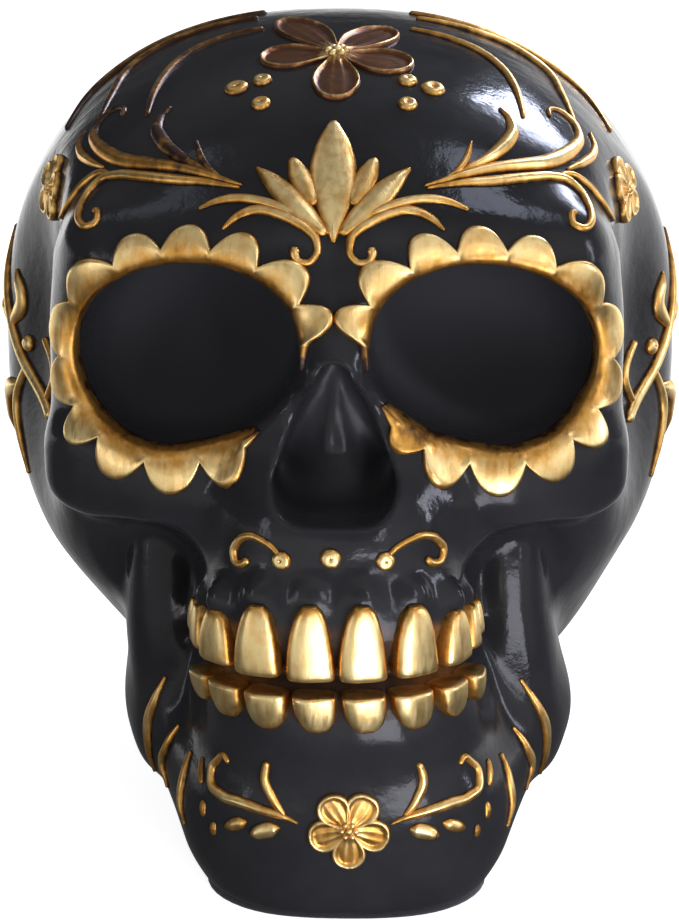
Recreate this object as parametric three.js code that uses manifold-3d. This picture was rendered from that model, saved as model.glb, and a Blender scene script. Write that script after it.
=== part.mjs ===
// Sugar skull ornament: a hollow cast resin skull with gilt relief, a stopper in its base and a felt pad.
// Lengths are millimetres. +Z is up, the face looks toward -Y, and the skull's own left is +X.
// The origin is the middle of the felt pad's underside.
import * as THREE from "three";
import { mergeVertices } from "three/addons/utils/BufferGeometryUtils.js";
import Module from "manifold-3d";

const wasm = await Module();
wasm.setup();

// Overall sizes of the casting
const skullWidth = 122;
const skullDepth = 146;
const skullHeight = 141.5;
const wallThickness = 6;

// Base: felt pad, pour hole and its stopper
const feltThickness = 1.5;
const feltInset = 2.5;
const pourHoleDiameter = 26;
const stopperHeight = 5;
const stopperFlangeDiameter = 21;
const stopperFlangeHeight = 2;

// Eye sockets, nose and mouth
const socketWidth = 38.6;
const socketHeight = 31.4;
const socketDepth = 24;
const socketSpacing = 50.1;
const noseWidth = 21.2;
const noseHeight = 27.2;
const noseDepth = 13;
const mouthOpening = 1.2;
const mouthDepth = 2;

// Teeth
const toothThickness = 5.6;
const upperToothHeight = 13;
const upperToothWidth = 7.9;
const lowerToothHeight = 7.4;
const lowerToothWidth = 7.5;

// Gilt relief
const reliefHeight = 1.2;
const reliefRoot = 1.3;
const strokeWidth = 2;
const fineStrokeWidth = 1.6;
const leafWidth = 4.4;
const lotusLeafWidth = 8.8;
const crownFlowerRadius = 14;
const crownFlowerStretch = 20;
const chinFlowerRadius = 6.6;
const templeFlowerRadius = 6.2;
const beadRadius = 1.7;
const crownBeadRadius = 2.1;
const eyeRimWidth = 1.8;
const petalReach = 5.6;
const petalReachBelow = 7.2;

// Clearances: between a relief piece and the casting, and between a piece and the one it fits
const seatGap = 0.3;
const fitGap = 0.3;

// Steps of the surface search
const marchStep = 2.5;
const walkStep = 1.5;
const probeStep = 0.05;
const weldReach = 1e-4;
const searchRounds = 12;
const snapRounds = 3;
const overrun = 1;

// Mesh fineness: how often the edges of a ball's faces are split, and sides of round outlines
const skinSplitCount = 13;
const cavitySplitCount = 5;
const socketSplitCount = 4;
const smallSplitCount = 1;
const roundSideCount = 32;
const mouthStepCount = 24;
const feltSideCount = 48;

const halfWidth = skullWidth / 2;
const baseLevel = feltThickness + fitGap;

// A place given as shares of half the width, the depth and the height.
const place = ([x, y, z]) => new THREE.Vector3(x * halfWidth, y * skullDepth, z * skullHeight);

// The sculpt: rounded lumps and bars that run into each other. Pairs are given on the left side only.
const headShares = [
  { at: [0, 0.151, 0.583], reach: [1, 0.438, 0.417], squareness: 2.3, blend: 0 },
  { at: [0, 0.215, 0.335], reach: [0.738, 0.285, 0.279], squareness: 2.3, blend: 0.1 },
  { at: [0, -0.055, 0.735], reach: [0.787, 0.226, 0.219], squareness: 2.2, blend: 0.085 },
  { at: [0, -0.13, 0.636], reach: [0.792, 0.147, 0.191], squareness: 3, blend: 0.057 },
  { from: [0.131, -0.247, 0.799], to: [0.623, -0.199, 0.795], thick: [0.035, 0.035], blend: 0.078 },
  { from: [0.697, -0.137, 0.763], to: [0.726, -0.144, 0.558], thick: [0.028, 0.035], blend: 0.042 },
  { at: [0.545, -0.186, 0.53], reach: [0.268, 0.088, 0.074], squareness: 3, blend: 0.028, yaw: 27 },
];
const templeHollowShares = {
  at: [1.025, -0.055, 0.65], reach: [0.23, 0.103, 0.212], squareness: 2, blend: 0.099,
};
const upperJawShares = [
  { at: [0, -0.205, 0.466], reach: [0.375, 0.171, 0.127], squareness: 2.4, blend: 0.049 },
  { at: [0, -0.199, 0.38], reach: [0.4, 0.191, 0.085], squareness: 2.6, blend: 0.035 },
];
const cheekHollowShares = {
  at: [0.56, -0.26, 0.375], reach: [0.21, 0.125, 0.085], squareness: 2, blend: 0.03,
};
const noseBridgeShares = {
  from: [0, -0.247, 0.756], to: [0, -0.322, 0.678], thick: [0.042, 0.032], blend: 0.057,
};
const lowerJawShares = [
  { at: [0, -0.24, 0.106], reach: [0.385, 0.144, 0.17], squareness: 2.7, blend: 0.021 },
  { from: [0.254, -0.253, 0.106], to: [0.451, -0.089, 0.177], thick: [0.092, 0.08], blend: 0.071 },
  {
    at: [0.5, -0.075, 0.33], reach: [0.12, 0.12, 0.235], squareness: 2.8, blend: 0.042,
    pitch: -4, roll: -3,
  },
  { at: [0, -0.199, 0.255], reach: [0.395, 0.184, 0.078], squareness: 2.6, blend: 0.049 },
  { at: [0, 0.116, 0.141], reach: [0.492, 0.274, 0.24], squareness: 2.3, blend: 0.113 },
];
const heartShare = [0, 0.034, 0.509];
const socketPlaceShare = [0, -0.274, 0.6845];
const socketSquareness = 2.3;
const socketYaw = -6;
const socketPitch = 10;
const baseEdgeShare = 0.018;
const heart = place(heartShare);

// The turn of a lump: yaw about Z, then pitch about X, then roll about Y.
function turnOf({ pitch = 0, roll = 0, yaw = 0 }) {
  const angles = [pitch, roll, yaw].map(THREE.MathUtils.degToRad);
  return new THREE.Matrix4().makeRotationFromEuler(new THREE.Euler(...angles, "ZXY"));
}

function lump(shares) {
  const back = turnOf(shares).transpose();
  return {
    at: place(shares.at),
    reach: place(shares.reach),
    power: shares.squareness,
    back: new THREE.Matrix3().setFromMatrix4(back),
    blend: shares.blend * skullHeight,
  };
}

function bar(shares) {
  const from = place(shares.from);
  return {
    from,
    run: place(shares.to).sub(from),
    thick: shares.thick.map((share) => share * skullHeight),
    blend: shares.blend * skullHeight,
  };
}

const form = (shares) => (shares.at ? lump(shares) : bar(shares));
const head = headShares.map(form);
const templeHollow = form(templeHollowShares);
const upperJaw = upperJawShares.map(form);
const cheekHollow = form(cheekHollowShares);
const noseBridge = form(noseBridgeShares);
const lowerJaw = lowerJawShares.map(form);
const socket = {
  at: place(socketPlaceShare).setX(socketSpacing / 2),
  reach: new THREE.Vector3(socketWidth / 2, socketDepth, socketHeight / 2),
  power: socketSquareness,
  back: new THREE.Matrix3().setFromMatrix4(turnOf({ pitch: socketPitch, yaw: socketYaw }).transpose()),
};

const spot = new THREE.Vector3();

// Distance from a point to a lump, below zero inside it.
function lumpGap({ at, reach, power, back }, p) {
  spot.copy(p).sub(at).applyMatrix3(back);
  const tiny = Number.EPSILON;
  const a = Math.abs(spot.x) / reach.x + tiny;
  const b = Math.abs(spot.y) / reach.y + tiny;
  const c = Math.abs(spot.z) / reach.z + tiny;
  const [u, v, w] = [a ** (power - 1), b ** (power - 1), c ** (power - 1)];
  const sum = u * a + v * b + w * c;
  const scale = sum ** (1 / power);
  const slope = (Math.hypot(u / reach.x, v / reach.y, w / reach.z) * scale) / sum;
  return (scale - 1) / slope;
}

// Distance from a point to a tapered round bar.
function barGap({ from, run, thick }, p) {
  spot.copy(p).sub(from);
  const along = THREE.MathUtils.clamp(spot.dot(run) / run.lengthSq(), 0, 1);
  return spot.addScaledVector(run, -along).length() - THREE.MathUtils.lerp(...thick, along);
}

const formGap = (shape, p) => (shape.at ? lumpGap(shape, p) : barGap(shape, p));

// The lesser of two distances, with a fillet of the given blend where they meet.
function softMin(a, b, blend) {
  const near = Math.max(blend - Math.abs(a - b), 0);
  return Math.min(a, b) - (blend > 0 ? (near * near) / (4 * blend) : 0);
}

const softCut = (a, b, blend) => -softMin(-a, b, blend);
const blendForms = (shapes, p) =>
  shapes.reduce((gap, shape) => softMin(gap, formGap(shape, p), shape.blend), Infinity);

const folded = new THREE.Vector3();

// Distance from a point to the skull's skin, without the sockets, nose and mouth.
function skinGap(point) {
  const p = folded.set(Math.abs(point.x), point.y, point.z);
  const dome = softCut(blendForms(head, p), formGap(templeHollow, p), templeHollow.blend);
  const upper = softMin(dome, blendForms(upperJaw, p), upperJaw[0].blend);
  const hollowed = softCut(upper, formGap(cheekHollow, p), cheekHollow.blend);
  const nosed = softMin(hollowed, formGap(noseBridge, p), noseBridge.blend);
  const jawed = softMin(nosed, blendForms(lowerJaw, p), lowerJaw[0].blend);
  return softCut(jawed, p.z - baseLevel + overrun, baseEdgeShare * skullHeight);
}

// The direction straight out of the skin near a point.
function skinNormal(point) {
  const slopeAlong = (axis) => {
    const step = new THREE.Vector3().setComponent(axis, probeStep);
    return skinGap(point.clone().add(step)) - skinGap(point.clone().sub(step));
  };
  return new THREE.Vector3(slopeAlong(0), slopeAlong(1), slopeAlong(2)).normalize();
}

// The point moved square onto the skin.
function snapToSkin(point) {
  for (let round = 0; round < snapRounds; round += 1) {
    point.addScaledVector(skinNormal(point), -skinGap(point));
  }
  return point;
}

// The point reached by walking a length over the skin, starting in the given heading.
function walkOnSkin(from, heading, length) {
  const point = from.clone();
  const along = heading.clone();
  const steps = Math.ceil(length / walkStep);
  for (let step = 0; step < steps; step += 1) {
    const normal = skinNormal(point);
    along.addScaledVector(normal, -along.dot(normal)).normalize();
    snapToSkin(point.addScaledVector(along, length / steps));
  }
  return point;
}

// The first place along a line where the given distance changes sign.
const searchReach = 2 * skullDepth;
function crossing(from, direction, gapAt) {
  const at = (length) => from.clone().addScaledVector(direction, length);
  const startsInside = gapAt(from) < 0;
  let near = 0;
  let far = marchStep;
  while (gapAt(at(far)) < 0 === startsInside && far < searchReach) {
    near = far;
    far += marchStep;
  }
  for (let round = 0; round < searchRounds; round += 1) {
    const middle = (near + far) / 2;
    if (gapAt(at(middle)) < 0 === startsInside) near = middle;
    else far = middle;
  }
  return at(near);
}

// Places on the skin, as shares seen from the front, from above or from the left side.
const inward = new THREE.Vector3(0, 1, 0);
const downward = new THREE.Vector3(0, 0, -1);
const rightward = new THREE.Vector3(-1, 0, 0);
const skinFrom = {
  front: (a, b) => crossing(place([a, -1, b]), inward, skinGap),
  top: (a, b) => crossing(place([a, b, 2]), downward, skinGap),
  side: (a, b) => crossing(place([2, a, b]), rightward, skinGap),
};

// A closed three.js geometry as a solid, and back.
function solidOf(geometry) {
  const bare = geometry.clone();
  bare.deleteAttribute("normal");
  bare.deleteAttribute("uv");
  const merged = mergeVertices(bare, weldReach);
  return new wasm.Manifold(
    new wasm.Mesh({
      numProp: 3,
      vertProperties: new Float32Array(merged.attributes.position.array),
      triVerts: new Uint32Array(merged.index.array),
    }),
  );
}

function geometryOf(solid) {
  const { numProp, numVert, vertProperties, triVerts } = solid.getMesh();
  const points = [];
  for (let i = 0; i < numVert; i += 1) {
    points.push(...vertProperties.slice(i * numProp, i * numProp + 3));
  }
  const geometry = new THREE.BufferGeometry();
  geometry.setAttribute("position", new THREE.Float32BufferAttribute(points, 3));
  geometry.setIndex([...triVerts]);
  geometry.computeVertexNormals();
  return geometry;
}

const unite = (solids) => solids.reduce((all, solid) => all.add(solid));
const largestBody = (solid) => solid.decompose().reduce((a, b) => (b.volume() > a.volume() ? b : a));

// The mirror image across the plane between the eyes.
function mirrored(geometry) {
  const copy = geometry.clone().scale(-1, 1, 1);
  const order = copy.index.array;
  for (let i = 0; i < order.length; i += 3) {
    [order[i + 1], order[i + 2]] = [order[i + 2], order[i + 1]];
  }
  return copy;
}

// A ball with shared vertices.
function ball(detail) {
  const round = new THREE.IcosahedronGeometry(1, detail);
  round.deleteAttribute("normal");
  round.deleteAttribute("uv");
  return mergeVertices(round, weldReach);
}

// Moves each vertex of a geometry to where the given function puts it.
function reshape(geometry, move) {
  const vertices = geometry.attributes.position;
  for (let i = 0; i < vertices.count; i += 1) {
    const moved = move(new THREE.Vector3().fromBufferAttribute(vertices, i));
    vertices.setXYZ(i, ...moved);
  }
  return geometry;
}

// A closed surface at a steady distance from the sculpt, with its vertices crowded toward the face.
const faceCrowdShare = 0.32;
function surfaceAt(gapAt, detail) {
  return reshape(ball(detail), (direction) =>
    crossing(heart, direction.addScaledVector(inward, -faceCrowdShare).normalize(), gapAt),
  );
}

const seat = solidOf(surfaceAt((p) => skinGap(p) - seatGap, skinSplitCount));

// Eye sockets: the same lumps that the cavity keeps clear of.
function socketCutter(side) {
  const turn = turnOf({ pitch: socketPitch, yaw: socketYaw });
  const cutter = reshape(ball(socketSplitCount), (v) => {
    const size = v.toArray().reduce((sum, part) => sum + Math.abs(part) ** socket.power, 0);
    v.multiplyScalar(size ** (-1 / socket.power)).multiply(socket.reach);
    return v.applyMatrix4(turn).add(socket.at);
  });
  return solidOf(side < 0 ? mirrored(cutter) : cutter);
}

// A flat outline drawn out straight along Z.
function extruded(outline, depth) {
  return new THREE.ExtrudeGeometry(new THREE.Shape(outline), { depth, bevelEnabled: false });
}

// The nose opening narrows to the top, with two round lobes below.
const noseTopShare = 0.698;
const noseOutlineShares = [
  [0, 1],
  [0.26, 0.86],
  [0.665, 0.51],
  [0.925, 0.32],
  [1, 0.18],
  [0.88, 0.05],
  [0.5, 0],
  [0, 0.02],
];
function noseCutter() {
  const bottom = noseTopShare * skullHeight - noseHeight;
  const right = noseOutlineShares.map(
    ([a, b]) => new THREE.Vector2((a * noseWidth) / 2, bottom + b * noseHeight),
  );
  const left = right.slice(1, -1).reverse().map(({ x, y }) => new THREE.Vector2(-x, y));
  const curve = new THREE.SplineCurve([...right, ...left, right[0]]);
  const outline = curve.getPoints(6 * noseOutlineShares.length).slice(0, -1);
  const tip = skinFrom.front(0, noseTopShare - noseHeight / skullHeight / 2).y;
  const cutter = extruded(outline, skullDepth);
  return solidOf(cutter.rotateX(Math.PI / 2).translate(0, tip + noseDepth, 0));
}

// The dental arch: angles run from the middle of the front teeth, round an upright axis.
const archAxisShare = -0.199;
const mouthLevelShare = 0.316;
const mouthReachAngle = 74;
function archPoint(angle, level) {
  const turn = THREE.MathUtils.degToRad(angle);
  const outward = new THREE.Vector3(Math.sin(turn), -Math.cos(turn), 0);
  const axis = new THREE.Vector3(0, archAxisShare * skullDepth, level);
  return crossing(axis.addScaledVector(outward, skullWidth), outward.negate(), skinGap);
}

// The line between the teeth: a shallow slot round the front of the arch.
function mouthCutter() {
  const level = mouthLevelShare * skullHeight;
  const axis = new THREE.Vector2(0, archAxisShare * skullDepth);
  const rim = Array.from({ length: mouthStepCount + 1 }, (_, i) => {
    const { x, y } = archPoint(((2 * i) / mouthStepCount - 1) * mouthReachAngle, level);
    return new THREE.Vector2(x, y);
  });
  const offset = (distance) =>
    rim.map((point) => {
      const outward = point.clone().sub(axis).normalize();
      return point.clone().addScaledVector(outward, distance);
    });
  const outline = [...offset(toothThickness), ...offset(-mouthDepth).reverse()];
  return solidOf(extruded(outline, mouthOpening).translate(0, 0, level - mouthOpening / 2));
}

// The skull itself: one hollow casting with a pour hole in its flat base.
function skullCasting() {
  const cavityGap = (p) => {
    folded.set(Math.abs(p.x), p.y, p.z);
    const socketRoom = -lumpGap(socket, folded);
    const floor = baseLevel - p.z;
    return Math.max(skinGap(p), socketRoom, floor) + wallThickness;
  };
  const below = new THREE.BoxGeometry(2 * skullWidth, 2 * skullDepth, skullHeight);
  below.translate(0, 0, baseLevel - skullHeight / 2);
  const holeLength = 2 * wallThickness + 2 * overrun;
  const radius = pourHoleDiameter / 2;
  const pourHole = new THREE.CylinderGeometry(radius, radius, holeLength, roundSideCount);
  pourHole.rotateX(Math.PI / 2).translate(0, 0, baseLevel - overrun + holeLength / 2);
  return solidOf(surfaceAt(skinGap, skinSplitCount))
    .subtract(socketCutter(1))
    .subtract(socketCutter(-1))
    .subtract(noseCutter())
    .subtract(mouthCutter())
    .subtract(solidOf(surfaceAt(cavityGap, cavitySplitCount)))
    .subtract(solidOf(pourHole))
    .subtract(solidOf(below));
}

// The stopper: a soft disc that fills the pour hole, with a narrower boss inside.
function baseStopper() {
  const radius = pourHoleDiameter / 2 - fitGap;
  const profile = [
    new THREE.Vector2(0, 0),
    new THREE.Vector2(radius, 0),
    new THREE.Vector2(radius, stopperHeight),
    new THREE.Vector2(stopperFlangeDiameter / 2, stopperHeight),
    new THREE.Vector2(stopperFlangeDiameter / 2, stopperHeight + stopperFlangeHeight),
    new THREE.Vector2(0, stopperHeight + stopperFlangeHeight),
  ];
  const disc = new THREE.LatheGeometry(profile, roundSideCount).rotateX(Math.PI / 2);
  return solidOf(disc.translate(0, 0, baseLevel));
}

// The felt pad follows the foot of the casting, a little inside its edge.
function feltPad() {
  const level = baseLevel + baseEdgeShare * skullHeight;
  const outline = Array.from({ length: feltSideCount }, (_, i) => {
    const turn = (i / feltSideCount) * 2 * Math.PI;
    const outward = new THREE.Vector3(Math.cos(turn), Math.sin(turn), 0);
    const edge = crossing(new THREE.Vector3(0, 0, level), outward, skinGap);
    return new THREE.Vector2(edge.x, edge.y).addScaledVector(outward, -feltInset);
  });
  return solidOf(extruded(outline, feltThickness));
}

// Relief sections, from one foot over the crest to the other: across and up, as shares.
const ridgeShares = [[-1, 0], [0, 1], [1, 0]];
const leafShares = [[-1, 0], [-0.72, 0.85], [0.72, 0.85], [1, 0]];

// Widths at even steps along a stroke, as shares of its full width.
const widthShares = {
  tapered: [0.7, 0.95, 1, 0.98, 0.85, 0.35],
  leaf: [0.12, 0.68, 1, 0.68, 0.12],
  lotus: [0.5, 0.85, 1, 0.7, 0.1],
  petal: [0.6, 0.86, 1, 0.97, 0.6],
};
function widthAt(shape, travelled) {
  const shares = widthShares[shape];
  const step = travelled * (shares.length - 1);
  const low = Math.min(Math.floor(step), shares.length - 2);
  return THREE.MathUtils.lerp(shares[low], shares[low + 1], step - low);
}

// Joins rings of points into one closed geometry: a rod with flat ends, or a ring without ends.
function loft(rings, isLoop) {
  const sides = rings[0].length;
  const joins = isLoop ? rings.length : rings.length - 1;
  const faces = [];
  for (let ring = 0; ring < joins; ring += 1) {
    const next = (ring + 1) % rings.length;
    for (let side = 0; side < sides; side += 1) {
      const turn = (side + 1) % sides;
      const [a, b] = [ring * sides + side, ring * sides + turn];
      const [c, d] = [next * sides + side, next * sides + turn];
      faces.push(a, c, b, b, c, d);
    }
  }
  if (!isLoop) {
    const last = (rings.length - 1) * sides;
    for (let side = 1; side < sides - 1; side += 1) {
      faces.push(0, side, side + 1, last, last + side + 1, last + side);
    }
  }
  const geometry = new THREE.BufferGeometry().setFromPoints(rings.flat());
  return geometry.setIndex(faces);
}

// A raised stroke on the skin along a spine of skin points. Its foot lies under the skin.
function stroke(spine, { width, height = reliefHeight, section = ridgeShares, shape = "tapered" }, grow) {
  const last = spine.length - 1;
  const rings = spine.map((point, i) => {
    const along = spine[Math.min(i + 1, last)].clone().sub(spine[Math.max(i - 1, 0)]).normalize();
    const across = skinNormal(point).cross(along).normalize();
    const half = (widthAt(shape, i / last) * width) / 2 + grow;
    const end = i === 0 ? -grow : i === last ? grow : 0;
    return section.map(([sideways, up]) => {
      const beside = point.clone().addScaledVector(across, sideways * half);
      const foot = snapToSkin(beside.addScaledVector(along, end));
      return foot.addScaledVector(skinNormal(foot), up > 0 ? up * height + grow : -reliefRoot);
    });
  });
  return loft(rings, false);
}

// A smooth run of skin points through places given as shares of one view.
function runOf(view, places, steps) {
  const curve = new THREE.CatmullRomCurve3(places.map(([a, b]) => new THREE.Vector3(a, b, 0)));
  return curve.getSpacedPoints(steps).map(({ x, y }) => skinFrom[view](x, y));
}

function drawn(view, places, size, steps = 5) {
  return (grow) => stroke(runOf(view, places, steps), size, grow);
}

// A small round bead set into the skin.
const upward = new THREE.Vector3(0, 0, 1);
function bead(view, [a, b], radius) {
  return (grow) => {
    const centre = skinFrom[view](a, b);
    const upright = new THREE.Quaternion().setFromUnitVectors(upward, skinNormal(centre));
    const round = ball(smallSplitCount).scale(radius + grow, radius + grow, reliefHeight + grow);
    return round.applyQuaternion(upright).translate(...centre);
  };
}

// A flower of round petals about a centre bead: each petal runs out from the middle over the skin.
const petalStationShares = [0.1, 0.42, 0.72, 0.94, 1];
const beadRadiusShare = 0.24;
function flower(view, [a, b], { angles, across, along, widthShare }) {
  const centre = skinFrom[view](a, b);
  const normal = skinNormal(centre);
  const level = view === "side" ? inward : rightward.clone().negate();
  const sideways = level.clone().projectOnPlane(normal).normalize();
  const lengthwise = normal.clone().cross(sideways);
  const makers = angles.map((degrees) => (grow) => {
    const angle = THREE.MathUtils.degToRad(degrees);
    const reach = sideways.clone().multiplyScalar(Math.cos(angle) * across);
    reach.addScaledVector(lengthwise, Math.sin(angle) * along);
    const spine = petalStationShares.map((share) =>
      snapToSkin(centre.clone().addScaledVector(reach, share)),
    );
    const width = widthShare * Math.hypot(Math.sin(angle) * across, Math.cos(angle) * along);
    return stroke(spine, { width, section: leafShares, shape: "petal" }, grow);
  });
  return [...makers, bead(view, [a, b], beadRadiusShare * across)];
}

// Gilt petals round an eye socket: round scallops, with a bare rim on the side of the nose.
// The shares of a turn where a petal ends and the next begins, from the nose over the brow to the cheek.
const petalEdgeShares = [
  0.472, 0.424, 0.358, 0.294, 0.222, 0.146, 0.056, -0.019, -0.081, -0.128, -0.194, -0.272, -0.347, -0.403,
];
const petalStepCount = 5;
const bareStepCount = 9;
const rimSearchShares = { near: 0.25, far: 0.6 };
const socketGapAt = ({ x, y, z }) => lumpGap(socket, new THREE.Vector3(Math.abs(x), y, z));

// The edge of an eye socket in a direction round its middle, as seen from the front.
function socketRim(direction) {
  const at = (reach) => {
    const [x, z] = [socket.at.x + direction.x * reach, socket.at.z + direction.z * reach];
    return skinFrom.front(x / halfWidth, z / skullHeight);
  };
  let near = rimSearchShares.near * socketHeight;
  let far = rimSearchShares.far * socketWidth;
  for (let round = 0; round < searchRounds; round += 1) {
    const middle = (near + far) / 2;
    if (socketGapAt(at(middle)) < seatGap) near = middle;
    else far = middle;
  }
  return at(far);
}

function eyeRing(grow) {
  const edges = [...petalEdgeShares, petalEdgeShares[0] - 1];
  const stations = petalEdgeShares.flatMap((edge, petal) => {
    const isBare = petal === petalEdgeShares.length - 1;
    const steps = isBare ? bareStepCount : petalStepCount;
    return Array.from({ length: steps }, (_, i) => ({
      turn: THREE.MathUtils.lerp(edge, edges[petal + 1], i / steps),
      scallop: isBare ? 0 : Math.sqrt(1 - ((2 * i) / steps - 1) ** 2),
    }));
  });
  const rings = stations.map(({ turn, scallop }) => {
    const angle = 2 * Math.PI * turn;
    const heading = new THREE.Vector3(Math.cos(angle), 0, Math.sin(angle));
    const inner = socketRim(heading);
    const reach = THREE.MathUtils.lerp(petalReach, petalReachBelow, Math.max(-heading.z, 0));
    const width = THREE.MathUtils.lerp(eyeRimWidth, reach, scallop) + grow;
    const outer = walkOnSkin(inner, heading, width);
    const [up, out] = [skinNormal(inner), skinNormal(outer)];
    return [
      inner.clone().addScaledVector(up, -reliefRoot),
      inner.clone().addScaledVector(up, reliefHeight + grow),
      outer.clone().addScaledVector(out, reliefHeight + grow),
      outer.clone().addScaledVector(out, -reliefRoot),
    ];
  });
  return loft(rings, true);
}

// One tooth: a rounded block set into the arch, narrower at the gum.
const toothRoundness = 0.62;
const toothTaperShare = 0.4;
function tooth(angle, level, width, height, gumSide) {
  return (grow) => {
    const root = archPoint(angle, level);
    const outward = skinNormal(root).setZ(0).normalize();
    const sideways = outward.clone().cross(upward);
    const squared = (v) => Math.sign(v) * Math.abs(v) ** toothRoundness;
    return reshape(ball(smallSplitCount), (v) => {
      const up = squared(v.z);
      const narrowing = 1 - toothTaperShare * Math.max(gumSide * up, 0);
      const x = squared(v.x) * narrowing * (width / 2 + grow);
      const y = squared(v.y) * (toothThickness / 2 + grow);
      const at = root.clone().addScaledVector(sideways, x).addScaledVector(outward, y);
      return at.setZ(root.z + up * (height / 2 + grow));
    });
  };
}

// Teeth of one side, from the middle to the cheek: angle on the arch, and width, height and lift as shares.
const upperTeethShares = [
  { angle: 8.5, wide: 1, tall: 1, lift: 0 },
  { angle: 25, wide: 0.97, tall: 0.94, lift: 0 },
  { angle: 41, wide: 0.92, tall: 0.86, lift: -0.02 },
  { angle: 55, wide: 0.78, tall: 0.78, lift: -0.05 },
  { angle: 67, wide: 0.68, tall: 0.7, lift: -0.07 },
];
const lowerTeethShares = [
  { angle: 8.5, wide: 1, tall: 1, lift: 0 },
  { angle: 25, wide: 0.98, tall: 1, lift: 0 },
  { angle: 40.5, wide: 0.92, tall: 0.96, lift: 0.04 },
  { angle: 54, wide: 0.76, tall: 0.85, lift: 0.08 },
];

// Relief strokes, drawn on the left side as shares of one view
const wide = { width: leafWidth, section: leafShares, shape: "leaf" };
const thin = { width: strokeWidth };
const fine = { width: fineStrokeWidth };

const lotus = { ...wide, shape: "lotus" };
const lotusLeaves = [
  drawn("front", [[0, 0.823], [0, 0.885], [0, 0.945]], { ...lotus, width: lotusLeafWidth }),
  ...[-1, 1].flatMap((side) => [
    drawn("front", [[0.02 * side, 0.84], [0.075 * side, 0.88], [0.12 * side, 0.91]], lotus),
    drawn("front", [[0.01 * side, 0.826], [0.1 * side, 0.865], [0.21 * side, 0.9]], lotus),
  ]),
];
const browScroll = [
  drawn("front", [[0.05, 0.826], [0.11, 0.847], [0.24, 0.868], [0.36, 0.855]], thin),
  drawn("front", [[0.07, 0.833], [0.15, 0.846], [0.22, 0.853], [0.3, 0.841]], fine),
  drawn("front", [[0.05, 0.83], [0.052, 0.812], [0.08, 0.8], [0.12, 0.806], [0.115, 0.819]], thin),
];
const templeStemShares = [
  [0.25, -0.24], [0.4, -0.205], [0.54, -0.163], [0.62, -0.11], [0.68, -0.03], [0.66, 0.03],
];
const templeCurlShares = [
  [0.48, -0.18], [0.6, -0.16], [0.68, -0.142], [0.71, -0.175], [0.69, -0.215], [0.64, -0.225],
];
const templeSpray = [
  drawn("top", templeStemShares, thin, 7),
  drawn("top", [[0.66, 0.02], [0.63, 0.045], [0.59, 0.02]], thin, 3),
  drawn("top", templeCurlShares, thin, 8),
  drawn("top", [[0.36, -0.215], [0.49, -0.16], [0.53, -0.1], [0.46, -0.06]], wide),
  drawn("top", [[0.33, -0.222], [0.4, -0.19], [0.4, -0.155]], thin, 3),
  drawn("top", [[0.62, -0.155], [0.72, -0.12], [0.78, -0.04]], fine, 4),
];
const sideVine = [
  drawn("side", [[-0.01, 0.52], [0.06, 0.575], [0.1, 0.63], [0.16, 0.73]], thin, 6),
  drawn("side", [[0.01, 0.54], [0.0, 0.575], [0.03, 0.615]], thin, 4),
  drawn("side", [[0.09, 0.615], [0.07, 0.65], [0.085, 0.69]], wide, 4),
  drawn("side", [[0.1, 0.63], [0.15, 0.625], [0.18, 0.59]], wide, 4),
  drawn("side", [[0.055, 0.57], [0.07, 0.52], [0.04, 0.43]], thin, 5),
  drawn("side", [[0.06, 0.545], [0.11, 0.52], [0.12, 0.46]], wide, 4),
];
const crownArcShares = {
  outer: [[0.21, 0.23], [0.39, 0.212], [0.59, 0.2], [0.74, 0.165], [0.79, 0.1]],
  middle: [[0.23, 0.185], [0.39, 0.178], [0.54, 0.155], [0.62, 0.11], [0.66, 0.05]],
  inner: [[0.21, 0.11], [0.34, 0.088], [0.44, 0.04], [0.5, -0.02], [0.52, -0.085]],
};
const lipCurl = [
  bead("front", [0.172, 0.466], beadRadius),
  drawn("front", [[0.17, 0.468], [0.23, 0.483], [0.3, 0.475], [0.32, 0.455], [0.27, 0.449]], fine),
];
const chinCurlShares = [
  [0.12, 0.135], [0.22, 0.146], [0.32, 0.144], [0.375, 0.158], [0.375, 0.182], [0.335, 0.196],
];
const chinScroll = [
  drawn("front", chinCurlShares, thin, 8),
  drawn("front", [[0.17, 0.145], [0.22, 0.166], [0.24, 0.187], [0.21, 0.207]], thin, 4),
];
const jawStripeShares = [
  [[-0.262, 0.186], [-0.272, 0.145], [-0.298, 0.1]],
  [[-0.222, 0.188], [-0.215, 0.14], [-0.245, 0.092]],
  [[-0.172, 0.232], [-0.155, 0.186], [-0.148, 0.138], [-0.185, 0.1]],
];

// Materials
function finish(color, roughness, metalness) {
  return new THREE.MeshStandardMaterial({ color, roughness, metalness });
}
const blackResin = finish(0x1a1a1d, 0.22, 0);
const gilt = finish(0xc99a45, 0.38, 0.9);
const rubber = finish(0x2b2b2b, 0.8, 0);
const felt = finish(0x26262a, 1, 0);

const skull = new THREE.Group();
function addPiece(name, solid, material) {
  const mesh = new THREE.Mesh(geometryOf(solid), material);
  mesh.name = name;
  skull.add(mesh);
}

// Relief pieces keep clear of the casting and of the relief that was laid before them.
const laid = [];
function boxesMeet(a, b) {
  return a.min.every((low, i) => low < b.max[i] && b.min[i] < a.max[i]);
}
function lay(name, makers, side = 1) {
  const build = (grow) =>
    unite(makers.map((make) => solidOf(side < 0 ? mirrored(make(grow)) : make(grow))));
  let piece = build(0).subtract(seat);
  for (const other of laid) {
    if (boxesMeet(piece.boundingBox(), other.box)) piece = piece.subtract(other.room);
  }
  const room = build(fitGap);
  laid.push({ room, box: room.boundingBox() });
  addPiece(name, largestBody(piece), gilt);
}
function layPair(name, makers) {
  lay(name + "_left", makers, 1);
  lay(name + "_right", makers, -1);
}

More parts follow.
